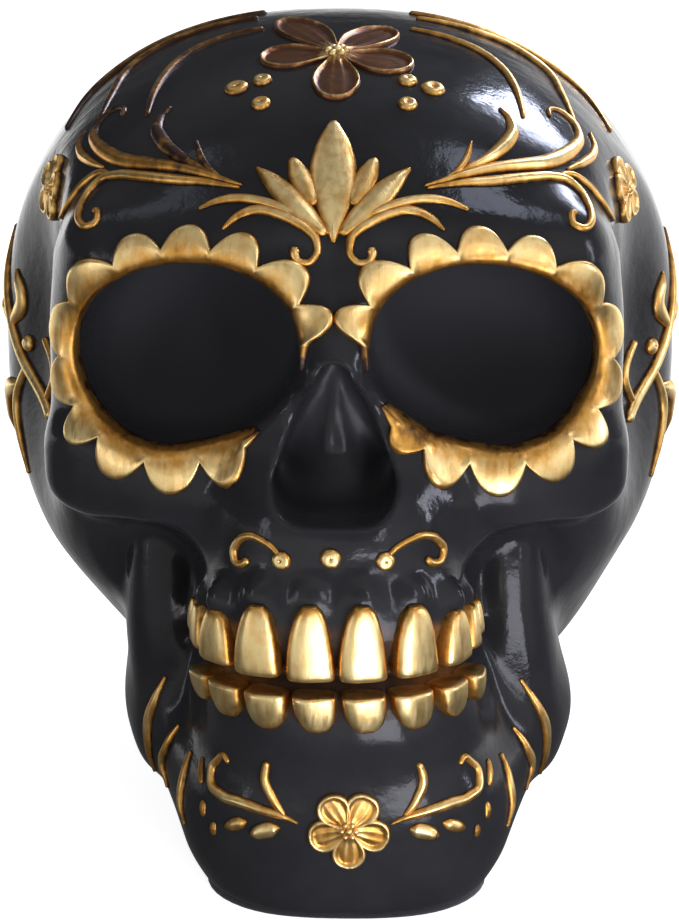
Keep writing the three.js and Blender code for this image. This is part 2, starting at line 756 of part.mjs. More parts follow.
addPiece("skull_casting", skullCasting(), blackResin);
addPiece("base_stopper", baseStopper(), rubber);
addPiece("felt_pad", feltPad(), felt);

const crownFlower = {
  angles: [-90, -12, 50, 113, 168], across: crownFlowerRadius, along: crownFlowerStretch, widthShare: 0.7,
};
lay("crown_flower", flower("top", [0, 0], crownFlower));
layPair("crown_bead_outer", [bead("top", [0.265, -0.1], crownBeadRadius)]);
layPair("crown_bead_upper", [bead("top", [0.2, -0.078], beadRadius)]);
layPair("crown_bead_lower", [bead("top", [0.2, -0.135], beadRadius)]);
for (const [name, places] of Object.entries(crownArcShares)) {
  layPair("crown_arc_" + name, [drawn("top", places, fine, 8)]);
}
lay("forehead_lotus", lotusLeaves);
layPair("eye_petal_ring", [eyeRing]);
layPair("brow_scroll", browScroll);
layPair("temple_spray", templeSpray);
const evenPetals = (turn, radius) => ({
  angles: [0, 72, 144, 216, 288].map((angle) => turn + angle),
  across: radius,
  along: radius,
  widthShare: 0.92,
});
const templeFlower = evenPetals(90, templeFlowerRadius);
layPair("temple_flower", flower("side", [0.02, 0.8], templeFlower));
layPair("side_vine", sideVine);
lay("lip_bead", [bead("front", [0, 0.47], beadRadius)]);
layPair("lip_curl", lipCurl);
const mouthLevel = mouthLevelShare * skullHeight;
const teethLevels = {
  upper: mouthLevel + mouthOpening + upperToothHeight / 2,
  lower: mouthLevel - mouthOpening - lowerToothHeight / 2,
};
for (const [i, { angle, wide: share, tall, lift }] of upperTeethShares.entries()) {
  const level = teethLevels.upper + lift * upperToothHeight;
  const block = tooth(angle, level, share * upperToothWidth, tall * upperToothHeight, 1);
  layPair("upper_tooth_" + (i + 1), [block]);
}
for (const [i, { angle, wide: share, tall, lift }] of lowerTeethShares.entries()) {
  const level = teethLevels.lower + lift * lowerToothHeight;
  const block = tooth(angle, level, share * lowerToothWidth, tall * lowerToothHeight, -1);
  layPair("lower_tooth_" + (i + 1), [block]);
}
const chinFlower = evenPetals(-90, chinFlowerRadius);
lay("chin_flower", flower("front", [0, 0.127], chinFlower));
layPair("chin_scroll", chinScroll);
layPair("chin_lozenge", [drawn("front", [[0.2, 0.119], [0.3, 0.124]], wide, 4)]);
for (const [i, places] of jawStripeShares.entries()) {
  layPair("jaw_stripe_" + (i + 1), [drawn("side", places, thin, 4)]);
}

export default skull;
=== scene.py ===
# Sugar skull ornament: black lacquered cast resin with antique gold relief, a rubber stopper and a felt pad.
# The shapes are worked out in millimetres and turned to metres when a mesh is made.
import math

import bpy
import numpy as np
from mathutils import Matrix, Vector


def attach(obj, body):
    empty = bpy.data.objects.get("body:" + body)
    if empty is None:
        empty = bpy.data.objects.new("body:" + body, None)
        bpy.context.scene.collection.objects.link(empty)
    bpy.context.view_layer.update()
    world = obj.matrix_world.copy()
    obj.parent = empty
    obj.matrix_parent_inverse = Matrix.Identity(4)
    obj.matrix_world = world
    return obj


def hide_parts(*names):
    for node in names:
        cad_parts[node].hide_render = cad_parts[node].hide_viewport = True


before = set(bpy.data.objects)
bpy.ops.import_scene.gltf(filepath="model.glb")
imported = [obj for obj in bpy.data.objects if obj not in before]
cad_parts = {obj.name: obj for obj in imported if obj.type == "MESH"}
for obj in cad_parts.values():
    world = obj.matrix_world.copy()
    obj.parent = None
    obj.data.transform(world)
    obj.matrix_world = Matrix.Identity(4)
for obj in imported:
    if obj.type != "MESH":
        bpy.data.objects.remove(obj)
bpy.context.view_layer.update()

# Skull casting: skull and lower jaw in one hollow shell of polyester resin, with a pour hole in its base.
# It is slush cast in a rubber mould, rubbed down by hand and sprayed with black lacquer.
MM = 0.001
skull_width, skull_depth, skull_height = 122, 146, 141.5
wall = 6
base_level = 1.8
pour_hole_radius = 13
socket_width, socket_height, socket_depth = 38.6, 31.4, 24
socket_spacing = 50.1
nose_top, nose_top_radius = 95.6, 2.6
nose_foot, nose_foot_radius, nose_foot_reach = 76.8, 5.3, 4.9
nose_floor, nose_floor_bow = -38, 0.05
mouth_opening, mouth_depth, mouth_half_width, mouth_back = 1.2, 2.4, 25, -22
arch_half_width, arch_reach, arch_mean_reach, arch_middle, arch_squareness = 26.5, 29, 27, -29, 2.4
socket_edge, nose_edge, nose_floor_edge, mouth_edge, gum_edge = 2.5, 1.3, 5, 1.2, 1.5
casting_cell = 0.8
sizes = np.array([skull_width / 2, skull_depth, skull_height])

# The sculpt: rounded lumps and bars that run into each other, as shares of half the width, depth and height.
# In the head: cranium, nape, forehead, upper face, brow bar, outer bar of the socket and cheekbone.
head_shares = [
    dict(at=(0, 0.151, 0.583), reach=(1, 0.438, 0.417), squareness=2.3, blend=0),
    dict(at=(0, 0.215, 0.335), reach=(0.738, 0.285, 0.279), squareness=2.3, blend=0.1),
    dict(at=(0, -0.055, 0.735), reach=(0.787, 0.226, 0.219), squareness=2.2, blend=0.085),
    dict(at=(0, -0.13, 0.636), reach=(0.792, 0.147, 0.191), squareness=3, blend=0.057),
    dict(start=(0.131, -0.247, 0.799), end=(0.623, -0.199, 0.795), thick=(0.035, 0.035), blend=0.078),
    dict(start=(0.697, -0.137, 0.763), end=(0.726, -0.144, 0.558), thick=(0.028, 0.035), blend=0.042),
    dict(at=(0.545, -0.186, 0.53), reach=(0.268, 0.088, 0.074), squareness=3, blend=0.028, yaw=27),
]
temple_hollow_shares = dict(at=(1.025, -0.055, 0.65), reach=(0.23, 0.103, 0.212), squareness=2, blend=0.099)
# In the upper jaw: the bone under the nose and the gum.
upper_jaw_shares = [
    dict(at=(0, -0.205, 0.466), reach=(0.375, 0.171, 0.127), squareness=2.4, blend=0.049),
    dict(at=(0, -0.199, 0.38), reach=(0.4, 0.191, 0.085), squareness=2.6, blend=0.035),
]
cheek_hollow_shares = dict(at=(0.56, -0.26, 0.375), reach=(0.21, 0.125, 0.085), squareness=2, blend=0.03)
nose_bridge_shares = dict(start=(0, -0.247, 0.756), end=(0, -0.322, 0.678), thick=(0.042, 0.032), blend=0.057)
# In the lower jaw: chin, jaw bar, ramus, gum and the foot under the cranium.
lower_jaw_shares = [
    dict(at=(0, -0.24, 0.106), reach=(0.385, 0.144, 0.17), squareness=2.7, blend=0.021),
    dict(start=(0.254, -0.253, 0.106), end=(0.451, -0.089, 0.177), thick=(0.092, 0.08), blend=0.071),
    dict(at=(0.5, -0.075, 0.33), reach=(0.12, 0.12, 0.235), squareness=2.8, blend=0.042, pitch=-4, roll=-3),
    dict(at=(0, -0.199, 0.255), reach=(0.395, 0.184, 0.078), squareness=2.6, blend=0.049),
    dict(at=(0, 0.116, 0.141), reach=(0.492, 0.274, 0.24), squareness=2.3, blend=0.113),
]
socket_shares = dict(at=(0, -0.274, 0.6845), squareness=2.05, yaw=-6, pitch=10, roll=3)
base_edge_share, foot_sink = 0.018, 1
arch_axis_share, mouth_level_share = -0.199, 0.316
arch_axis, mouth_level = arch_axis_share * skull_depth, mouth_level_share * skull_height


def turned(pitch=0, roll=0, yaw=0):
    """A turn about three axes, in degrees."""
    turns = [Matrix.Rotation(math.radians(a), 3, axis) for a, axis in ((yaw, "Z"), (pitch, "X"), (roll, "Y"))]
    return np.array(turns[0] @ turns[1] @ turns[2])


def form(shares):
    """A lump or a bar in millimetres, from its shares."""
    made = {"blend": shares["blend"] * skull_height}
    if "start" in shares:
        made["start"] = np.array(shares["start"]) * sizes
        made["run"] = np.array(shares["end"]) * sizes - made["start"]
        made["thick"] = np.array(shares["thick"]) * skull_height
    else:
        made["at"] = np.array(shares["at"]) * sizes
        made["reach"] = np.array(shares["reach"]) * sizes
        made["squareness"] = shares["squareness"]
        made["turn"] = turned(*(shares.get(key, 0) for key in ("pitch", "roll", "yaw")))
    return made


head = [form(s) for s in head_shares]
upper_jaw = [form(s) for s in upper_jaw_shares]
lower_jaw = [form(s) for s in lower_jaw_shares]
temple_hollow = form(temple_hollow_shares)
cheek_hollow = form(cheek_hollow_shares)
nose_bridge = form(nose_bridge_shares)
socket = form({**socket_shares, "reach": (0, 0, 0), "blend": base_edge_share})
socket["at"][0] = socket_spacing / 2
socket["reach"] = np.array([socket_width / 2, socket_depth, socket_height / 2])
# Each socket droops outwards: its upper edge slides in towards the nose and its lower edge out to the cheek.
socket_droop = 0.2
socket["turn"] = socket["turn"] @ np.array([[1, 0, 0], [0, 1, 0], [socket_droop, 0, 1]])


def form_gap(shape, points):
    """Distance from each point to a lump or bar, below zero inside it."""
    if "start" in shape:
        offset = points - shape["start"]
        run = shape["run"]
        along = np.clip(offset @ run / (run @ run), 0, 1)
        thick = shape["thick"][0] + (shape["thick"][1] - shape["thick"][0]) * along
        return np.linalg.norm(offset - along[:, None] * run, axis=1) - thick
    power = shape["squareness"]
    part = np.abs((points - shape["at"]) @ shape["turn"]) / shape["reach"] + 1e-9
    raised_part = part ** (power - 1)
    total = (raised_part * part).sum(axis=1)
    size = total ** (1 / power)
    slope = np.linalg.norm(raised_part / shape["reach"], axis=1) * size / total
    return (size - 1) / slope


def soft_min(a, b, blend):
    """Two shapes run together, by their distances, with a fillet where they meet."""
    if blend == 0:
        return np.minimum(a, b)
    near = np.maximum(blend - np.abs(a - b), 0)
    return np.minimum(a, b) - near * near / (4 * blend)


def soft_cut(a, b, blend):
    """One shape with another cut out of it, and the edge rounded."""
    return -soft_min(-a, b, blend)


def blend_forms(shapes, points):
    """Distance to all the shapes of a list, run together one after another."""
    gap = form_gap(shapes[0], points)
    for shape in shapes[1:]:
        gap = soft_min(gap, form_gap(shape, points), shape["blend"])
    return gap


def fold(points):
    """The points moved to one half of the head, because its two halves mirror each other."""
    return np.abs(points[:, :1]) * (1, 0, 0) + points * (0, 1, 1)


def skin_gap(points):
    """Distance to the skull's skin, without the sockets, nose and mouth."""
    p = fold(points)
    dome = soft_cut(blend_forms(head, p), form_gap(temple_hollow, p), temple_hollow["blend"])
    upper = soft_min(dome, blend_forms(upper_jaw, p), upper_jaw[0]["blend"])
    hollowed = soft_cut(upper, form_gap(cheek_hollow, p), cheek_hollow["blend"])
    nosed = soft_min(hollowed, form_gap(nose_bridge, p), nose_bridge["blend"])
    jawed = soft_min(nosed, blend_forms(lower_jaw, p), lower_jaw[0]["blend"])
    return soft_cut(jawed, p[:, 2] - base_level + foot_sink, base_edge_share * skull_height)


def nose_gap(p):
    """The nose opening: a pear shape, narrow above, with a wide flat foot and a hollow floor behind."""
    across, level = np.abs(p[:, 0]), p[:, 2]
    down = np.clip((nose_top - level) / (nose_top - nose_foot), 0, 1)
    side = np.array([nose_foot_reach, nose_foot - nose_top])
    offset = np.stack([across, level - nose_top], axis=1)
    along = np.clip(offset @ side / (side @ side), 0, 1)
    radius = nose_top_radius + (nose_foot_radius - nose_top_radius) * along
    edge = np.linalg.norm(offset - along[:, None] * side, axis=1) - radius
    foot = np.hypot(np.maximum(across - nose_foot_reach, 0), level - nose_foot) - nose_foot_radius
    middle = np.maximum(across - nose_foot_reach * down, np.maximum(nose_foot - level, level - nose_top))
    outline = np.minimum(np.minimum(edge, foot), middle)
    return soft_cut(outline, nose_floor - p[:, 1] + nose_floor_bow * across**2, nose_floor_edge)


def arch_share(p):
    """How far out a point lies on the dental arch: 1 is on the gum."""
    across = np.abs(p[:, 0]) / arch_half_width
    forward = np.abs(p[:, 1] - arch_middle) / arch_reach
    return (across**arch_squareness + forward**arch_squareness) ** (1 / arch_squareness)


def cast_rays(starts, direction, gap, step=2.5):
    """The first place on each line where the distance changes sign."""
    direction = np.broadcast_to(direction, starts.shape)
    lengths = np.arange(0, 2 * skull_depth, step)
    tries = starts[:, None] + direction[:, None] * lengths[None, :, None]
    inside = (gap(tries.reshape(-1, 3)) < 0).reshape(len(starts), -1)
    changed = inside != inside[:, :1]
    first = np.where(changed.any(axis=1), changed.argmax(axis=1), len(lengths) - 1)
    far = lengths[first]
    near = far - step
    for _ in range(14):
        middle = (near + far) / 2
        same = (gap(starts + direction * middle[:, None]) < 0) == inside[:, 0]
        near = np.where(same, middle, near)
        far = np.where(same, far, middle)
    return starts + direction * near[:, None]


def arch_place(angle, level):
    """A place on the gum by its angle round the dental arch and its level, and the way out from there."""
    turn = math.radians(angle)
    outward = np.array([math.sin(turn), -math.cos(turn), 0])
    start = np.array([0, arch_axis, level]) + outward * skull_width
    return cast_rays(start[None], -outward, skin_gap)[0], outward


# The gum swells to a low knuckle over the root of each upper tooth, at these angles round the arch.
# Both rows of teeth are turned one degree to one side.
gum_angles, gum_level_shares = (8.8, 27, 43.5, 58), (0.42, 0.418, 0.402, 0.39)
gum_reach, gum_sink, tooth_lean = (3.1, 1.9, 3.2), 0.9, -1
gum_swells = []
for side in (-1, 1):
    for gum_angle, level_share in zip(gum_angles, gum_level_shares):
        place, outward = arch_place(side * gum_angle - tooth_lean, level_share * skull_height)
        gum_swells.append(place - gum_sink * outward)


def gum_gap(points, around):
    """The skin with the gum swellings run into it."""
    swelled = around
    for centre in gum_swells:
        offset = (points - centre) / gum_reach
        swelled = soft_min(swelled, (np.linalg.norm(offset, axis=1) - 1) * gum_reach[1], gum_edge)
    return swelled


def casting_gap(points):
    """Distance to the casting itself: sockets, nose, mouth, base and cavity are cut."""
    p = fold(points)
    skin = skin_gap(p)
    sockets = form_gap(socket, p)
    nose = nose_gap(p)
    cut = soft_cut(soft_cut(gum_gap(points, skin), sockets, socket_edge), nose, nose_edge)
    slot_height = np.abs(p[:, 2] - mouth_level) - mouth_opening / 2
    slot_depth = 1 - mouth_depth / arch_mean_reach - arch_share(p)
    slot = np.maximum.reduce([slot_height, slot_depth, p[:, 1] - mouth_back, p[:, 0] - mouth_half_width])
    cut = soft_cut(cut, slot, mouth_edge)
    cavity = np.maximum.reduce([skin, -sockets, -nose, base_level - p[:, 2]]) + wall
    hole = np.maximum(np.hypot(p[:, 0], p[:, 1]) - pour_hole_radius, p[:, 2] - base_level - 2 * wall)
    return np.maximum.reduce([cut, -cavity, -hole, base_level - p[:, 2]])


def slopes(gap, points, step=0.05):
    """Unit directions straight out of a surface near each point."""
    parts = [gap(points + step * axis) - gap(points - step * axis) for axis in np.eye(3)]
    away = np.stack(parts, axis=1)
    return away / np.maximum(np.linalg.norm(away, axis=1, keepdims=True), 1e-9)


def snapped(gap, points, rounds=3):
    """The points moved onto the surface where the distance is zero."""
    for _ in range(rounds):
        points = points - slopes(gap, points) * gap(points)[:, None]
    return points


def surface_of(gap, low, high, cell, block=4):
    """Vertices and quads of the surface where the distance is zero, one vertex for each cell it crosses."""
    counts = np.ceil((high - low) / (cell * block)).astype(int)
    centres = [low[k] + cell * (block * (np.arange(counts[k]) + 0.5) - 0.5) for k in range(3)]
    rough = gap(np.stack(np.meshgrid(*centres, indexing="ij"), axis=-1).reshape(-1, 3)).reshape(counts)
    near = np.abs(rough) < 1.45 * block * cell
    for axis in range(3):
        rough = np.repeat(rough, block, axis=axis)
        near = np.repeat(near, block, axis=axis)
    spots = np.argwhere(near)
    batches = np.array_split(spots, max(1, len(spots) // 200000))
    rough[near] = np.concatenate([gap(low + cell * batch) for batch in batches])
    inside = rough < 0
    filled = 0
    for bits in np.ndindex(2, 2, 2):
        corner = tuple(slice(bit, size - 1 + bit) for bit, size in zip(bits, inside.shape))
        filled = filled + inside[corner].astype(np.int8)
    active = (filled > 0) & (filled < 8)
    cells = np.argwhere(active)
    numbers = np.full(active.shape, -1)
    numbers[active] = np.arange(len(cells))
    total = np.zeros((len(cells), 3))
    hits = np.zeros(len(cells))
    for axis in range(3):
        for bits in np.ndindex(2, 2):
            start = np.insert(np.array(bits), axis, 0)
            end = np.insert(np.array(bits), axis, 1)
            a = rough[tuple((cells + start).T)]
            b = rough[tuple((cells + end).T)]
            crossed = (a < 0) != (b < 0)
            point = (cells + start)[crossed].astype(float)
            point[:, axis] += (a / np.where(crossed, a - b, 1))[crossed]
            total[crossed] += point
            hits[crossed] += 1
    faces = []
    for axis in range(3):
        u, v = np.eye(3, dtype=int)[[(axis + 1) % 3, (axis + 2) % 3]]
        lower = tuple(slice(0, -1) if k == axis else slice(None) for k in range(3))
        upper = tuple(slice(1, None) if k == axis else slice(None) for k in range(3))
        for first, turn in ((inside[lower] & ~inside[upper], 1), (~inside[lower] & inside[upper], -1)):
            edge = np.argwhere(first)
            ring = np.stack([numbers[tuple((edge - shift).T)] for shift in (0 * u, u, u + v, v)], axis=1)
            faces.append(ring[:, ::turn])
    return low + cell * total / hits[:, None], np.concatenate(faces)


# The hand-cut master is not quite even: its crown sits to one side of the eyes and its jaw to the other.
# Each lean comes in between two levels and is taken off again at the foot, round the pour hole.
crown_lean, jaw_lean, back_lean, crown_fullness = -0.5, 1.9, -0.3, 0.01
crown_levels, jaw_levels, back_places, fullness_levels = (100, 140), (52, 22), (0, 30), (85, 115)
foot_radii, foot_levels = (28, 14), (22, 8)


def eased(value, start, end):
    """A smooth step from 0 at the start to 1 at the end."""
    share = np.clip((value - start) / (end - start), 0, 1)
    return share**2 * (3 - 2 * share)


def leaned(points):
    """Points of the even sculpt, moved to where they lie on the uneven master."""
    level, from_middle = points[:, 2], np.hypot(points[:, 0], points[:, 1])
    slide = crown_lean * eased(level, *crown_levels) + jaw_lean * eased(level, *jaw_levels)
    back, fullness = eased(points[:, 1], *back_places), eased(level, *fullness_levels)
    slide += back_lean * back + crown_fullness * points[:, 0] * fullness
    slide *= 1 - eased(from_middle, *foot_radii) * eased(level, *foot_levels)
    return points + np.stack([slide, 0 * slide, 0 * slide], axis=1)


def object_from(name, points, faces, marks=None):
    """A smooth mesh object from millimetre points. Marks are named values on its points, from 0 to 1."""
    mesh = bpy.data.meshes.new(name)
    points = leaned(np.asarray(points, float))
    mesh.from_pydata((points * MM).tolist(), [], [list(map(int, face)) for face in faces])
    mesh.shade_smooth()
    for mark, values in (marks or {}).items():
        kept = mesh.attributes.new(mark, "FLOAT", "POINT")
        kept.data.foreach_set("value", np.asarray(values, np.float32))
    mesh.update()
    made = bpy.data.objects.new(name, mesh)
    bpy.context.scene.collection.objects.link(made)
    return made


def add_node(tree, kind, inputs=None, **settings):
    """Adds a shader node with its settings; inputs are values or the sockets that feed them."""
    made = tree.nodes.new("ShaderNode" + kind)
    for key, value in settings.items():
        setattr(made, key, value)
    for key, value in (inputs or {}).items():
        if isinstance(value, bpy.types.NodeSocket):
            tree.links.new(value, made.inputs[key])
        else:
            made.inputs[key].default_value = value
    return made


def colour(code):
    """An sRGB hex colour as linear red, green, blue and alpha."""
    parts = [int(code[i : i + 2], 16) / 255 for i in (1, 3, 5)]
    return [c / 12.92 if c <= 0.04045 else ((c + 0.055) / 1.055) ** 2.4 for c in parts] + [1]


def new_material(name):
    made = bpy.data.materials.new(name)
    made.use_nodes = True
    made.node_tree.nodes.clear()
    return made, made.node_tree


def finish_material(tree, shader):
    add_node(tree, "OutputMaterial", {"Surface": shader.outputs[0]})


# Sprayed black lacquer: a deep gloss with a faint orange peel, low waves and dimples left by the rubbing
# down, and cloudy hand marks that dull the shine in patches. Deep in the sockets and the other hollows the
# lacquer turns dull and is painted a lighter grey, a painted lift against the shade that falls there. Brown
# glaze from the gilding has run into the gaps between the teeth. A fine grain of dust in the lacquer is drawn
# coarser than it is, to show. Lacquer has an index of 1.5. It is lower here, so that the room shows in it as
# faintly as it does on the real one.
def sprayed_black_lacquer():
    material, tree = new_material("sprayed_black_lacquer")
    place = add_node(tree, "TexCoord").outputs["Object"]
    mark_size, wave_size, dimple_size = 16 * MM, 11 * MM, 2.6 * MM
    smear_size, peel_size, grain_size = 1.8 * MM, 1.2 * MM, 0.5 * MM
    marks = add_node(
        tree, "TexNoise", {"Vector": place, "Scale": 1 / mark_size, "Detail": 5, "Roughness": 0.62},
    )
    grain = add_node(tree, "TexNoise", {"Vector": place, "Scale": 1 / grain_size, "Detail": 2})
    tone = add_node(tree, "ValToRGB", {"Fac": marks.outputs["Fac"]})
    tone.color_ramp.elements[0].position, tone.color_ramp.elements[1].position = 0.35, 0.7
    tone.color_ramp.elements[0].color = colour("#272729")
    tone.color_ramp.elements[1].color = colour("#2f2f31")
    depth = add_node(tree, "Attribute", attribute_name="depth").outputs["Fac"]
    # Painted light: deep in the hollows the lacquer is painted a lighter grey, which lifts the shade that
    # falls there.
    painted_lift = add_node(
        tree, "Mix", {"Factor": depth, 6: tone.outputs["Color"], 7: colour("#3a3a3d")}, data_type="RGBA",
    )
    overspill = add_node(tree, "Attribute", attribute_name="overspill").outputs["Fac"]
    smears = add_node(tree, "TexNoise", {"Vector": place, "Scale": 1 / smear_size, "Detail": 2})
    smeared = add_node(tree, "Math", {0: smears.outputs["Fac"], 1: 1.4}, operation="MULTIPLY")
    touched = add_node(
        tree, "Math", {0: smeared.outputs[0], 1: overspill}, operation="MULTIPLY", use_clamp=True,
    )
    stained = add_node(
        tree, "Mix",
        {"Factor": touched.outputs[0], 6: painted_lift.outputs[2], 7: colour("#86592a")},
        data_type="RGBA",
    )
    shine = add_node(
        tree, "MapRange",
        {"Value": marks.outputs["Fac"], "From Min": 0.3, "From Max": 0.75, "To Min": 0.1, "To Max": 0.22},
    )
    dull = add_node(tree, "Math", {0: depth, 1: 0.6, 2: shine.outputs["Result"]}, operation="MULTIPLY_ADD")
    waves = add_node(tree, "TexNoise", {"Vector": place, "Scale": 1 / wave_size, "Detail": 2})
    peel = add_node(tree, "TexNoise", {"Vector": place, "Scale": 1 / peel_size, "Detail": 1})
    low = add_node(tree, "Bump", {"Height": waves.outputs["Fac"], "Distance": 0.6 * MM, "Strength": 0.35})
    dimples = add_node(
        tree, "TexNoise", {"Vector": place, "Scale": 1 / dimple_size, "Detail": 3, "Roughness": 0.6},
    )
    pressed = add_node(
        tree, "Bump",
        {"Height": dimples.outputs["Fac"], "Distance": 0.14 * MM, "Strength": 0.55, "Normal": low.outputs[0]},
    )
    fine = add_node(
        tree, "Bump",
        {"Height": peel.outputs["Fac"], "Distance": 0.04 * MM, "Strength": 0.3, "Normal": pressed.outputs[0]},
    )
    dust = add_node(
        tree, "Bump",
        {"Height": grain.outputs["Fac"], "Distance": 0.015 * MM, "Strength": 0.3, "Normal": fine.outputs[0]},
    )
    shader = add_node(
        tree, "BsdfPrincipled",
        {
            "Base Color": stained.outputs[2], "Roughness": dull.outputs[0],
            "IOR": 1.27, "Normal": dust.outputs[0],
        },
    )
    finish_material(tree, shader)
    return material


room = 3 * casting_cell
front_share, back_share = -0.42, 0.6
casting_points, casting_faces = surface_of(
    casting_gap,
    np.array([-skull_width / 2, front_share * skull_depth, 0]) - room,
    np.array([skull_width / 2, back_share * skull_depth, skull_height]) + room,
    casting_cell,
)
casting_points = snapped(casting_gap, casting_points, rounds=2)
# The depth under the skull's skin at which the lacquer starts to turn dull and painted lighter, as painted
# light against the shade of the hollows, and at which it is fully so.
hollow_start_depth, hollow_full_depth = 3, 12
depths = np.concatenate([-skin_gap(part) for part in np.array_split(casting_points, 8)])
# The glaze has run along the bite, less high towards the last teeth and thinner between the front ones.
smear_middle, smear_height, smear_fall, smear_edge, front_smear = 2, 9, 3.5, 2, 0.25
fall_angles, front_angles, last_angles = (25, 60), (20, 42), (82, 74)
from_bite = np.abs(casting_points[:, 2] - mouth_level - smear_middle)
round_arch = np.degrees(np.arctan2(np.abs(casting_points[:, 0]), arch_axis - casting_points[:, 1]))
smear_reach = smear_height - smear_fall * eased(round_arch, *fall_angles)
overspill = eased(from_bite, smear_reach, smear_reach - smear_edge) * eased(round_arch, *last_angles)
overspill *= front_smear + (1 - front_smear) * eased(round_arch, *front_angles)
dullness_and_lift = np.clip((depths - hollow_start_depth) / (hollow_full_depth - hollow_start_depth), 0, 1)
casting_marks = {"depth": dullness_and_lift, "overspill": overspill}
casting = object_from("black_casting", casting_points, casting_faces, casting_marks)
casting.data.materials.append(sprayed_black_lacquer())
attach(casting, "root")
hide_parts("skull_casting")


# Base stopper: a moulded rubber plug pushed into the pour hole, which closes the hollow casting.
# It is matt black, with a cloudy bloom left by the mould on its face.
def moulded_rubber():
    material, tree = new_material("moulded_rubber")
    place = add_node(tree, "TexCoord").outputs["Object"]
    bloom_size, grain_size = 4 * MM, 0.4 * MM
    bloom = add_node(tree, "TexNoise", {"Vector": place, "Scale": 1 / bloom_size, "Detail": 4})
    tone = add_node(tree, "ValToRGB", {"Fac": bloom.outputs["Fac"]})
    tone.color_ramp.elements[0].color = colour("#222222")
    tone.color_ramp.elements[1].color = colour("#34322f")
    grain = add_node(tree, "TexNoise", {"Vector": place, "Scale": 1 / grain_size, "Detail": 2})
    bump = add_node(tree, "Bump", {"Height": grain.outputs["Fac"], "Distance": 0.05 * MM, "Strength": 0.6})
    shader = add_node(
        tree, "BsdfPrincipled",
        {"Base Color": tone.outputs["Color"], "Roughness": 0.75, "IOR": 1.52, "Normal": bump.outputs[0]},
    )
    finish_material(tree, shader)
    return material


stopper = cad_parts["base_stopper"]
stopper.data.materials.clear()
stopper.data.materials.append(moulded_rubber())


# Felt pad: 1.5 mm pressed wool felt, die cut to the foot a little inside its edge and glued over the stopper.
# It looks soft and dry, with a faint sheen. Its fibres are drawn much too thick, so that they show.
felt_inset, felt_sides = 2.5, 144
# Its section, from the middle of its underside round the edge to its top, as an inset and a level.
felt_section = (
    (30, 0), (8, 0), (0.5, 0), (0.1, 0.25), (0, 0.7), (0.15, 1.3), (0.6, 1.5), (8, 1.5), (30, 1.5),
)


def pressed_felt():
    material, tree = new_material("pressed_wool_felt")
    place = add_node(tree, "TexCoord").outputs["Object"]
    tuft_size, fibre_size = 3 * MM, 0.35 * MM
    tufts = add_node(
        tree, "TexNoise", {"Vector": place, "Scale": 1 / tuft_size, "Detail": 6, "Roughness": 0.7},
    )
    fibres = add_node(
        tree, "TexNoise", {"Vector": place, "Scale": 1 / fibre_size, "Detail": 4, "Distortion": 2},
    )
    tone = add_node(tree, "ValToRGB", {"Fac": tufts.outputs["Fac"]})
    tone.color_ramp.elements[0].color = colour("#1d1d20")
    tone.color_ramp.elements[1].color = colour("#313136")
    bump = add_node(tree, "Bump", {"Height": fibres.outputs["Fac"], "Distance": 0.2 * MM, "Strength": 0.7})
    shader = add_node(
        tree, "BsdfPrincipled",
        {
            "Base Color": tone.outputs["Color"], "Roughness": 0.95, "Sheen Weight": 0.35,
            "Sheen Roughness": 0.5, "Normal": bump.outputs[0],
        },
    )
    finish_material(tree, shader)
    return material


turns = np.linspace(0, 2 * math.pi, felt_sides, endpoint=False)
outwards = np.stack([np.cos(turns), np.sin(turns), 0 * turns], axis=1)
foot_level = base_level + base_edge_share * skull_height
foot_edge = cast_rays(np.tile([0, 0, foot_level], (felt_sides, 1)), outwards, skin_gap)
felt_edge = foot_edge - outwards * felt_inset
felt_rings = []
for inset, level in felt_section:
    lengths = np.linalg.norm(felt_edge[:, :2], axis=1, keepdims=True)
    ring = felt_edge * np.maximum(1 - inset / lengths, 0.02)
    ring[:, 2] = level
    felt_rings.append(ring)


def lofted(rings):
    """Quads between rings of points, with both ends closed."""
    count, sides = len(rings), len(rings[0])
    faces = []
    for i in range(count - 1):
        for j in range(sides):
            k = (j + 1) % sides
            faces.append((i * sides + j, i * sides + k, (i + 1) * sides + k, (i + 1) * sides + j))
    faces.append(tuple(range(sides))[::-1])
    faces.append(tuple((count - 1) * sides + j for j in range(sides)))
    return np.concatenate(rings), faces


felt_points, felt_faces = lofted(felt_rings)
felt = object_from("felt_foot_pad", felt_points, felt_faces)
felt.data.materials.append(pressed_felt())
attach(felt, "root")
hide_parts("felt_pad")


# Gilt relief: raised ornament of the same resin, gilded by hand with antique gold and glazed brown in its
# hollows. Each motif stands about 1.2 mm proud and its foot lies under the lacquer. The paint shines where it
# is rubbed, is dull brown low down, and shows the streaks of the brush. Its grain is drawn coarse, to show.
relief_height, relief_root = 1.2, 0.5
inward, downward, rightward = np.array([0, 1, 0]), np.array([0, 0, -1]), np.array([-1, 0, 0])


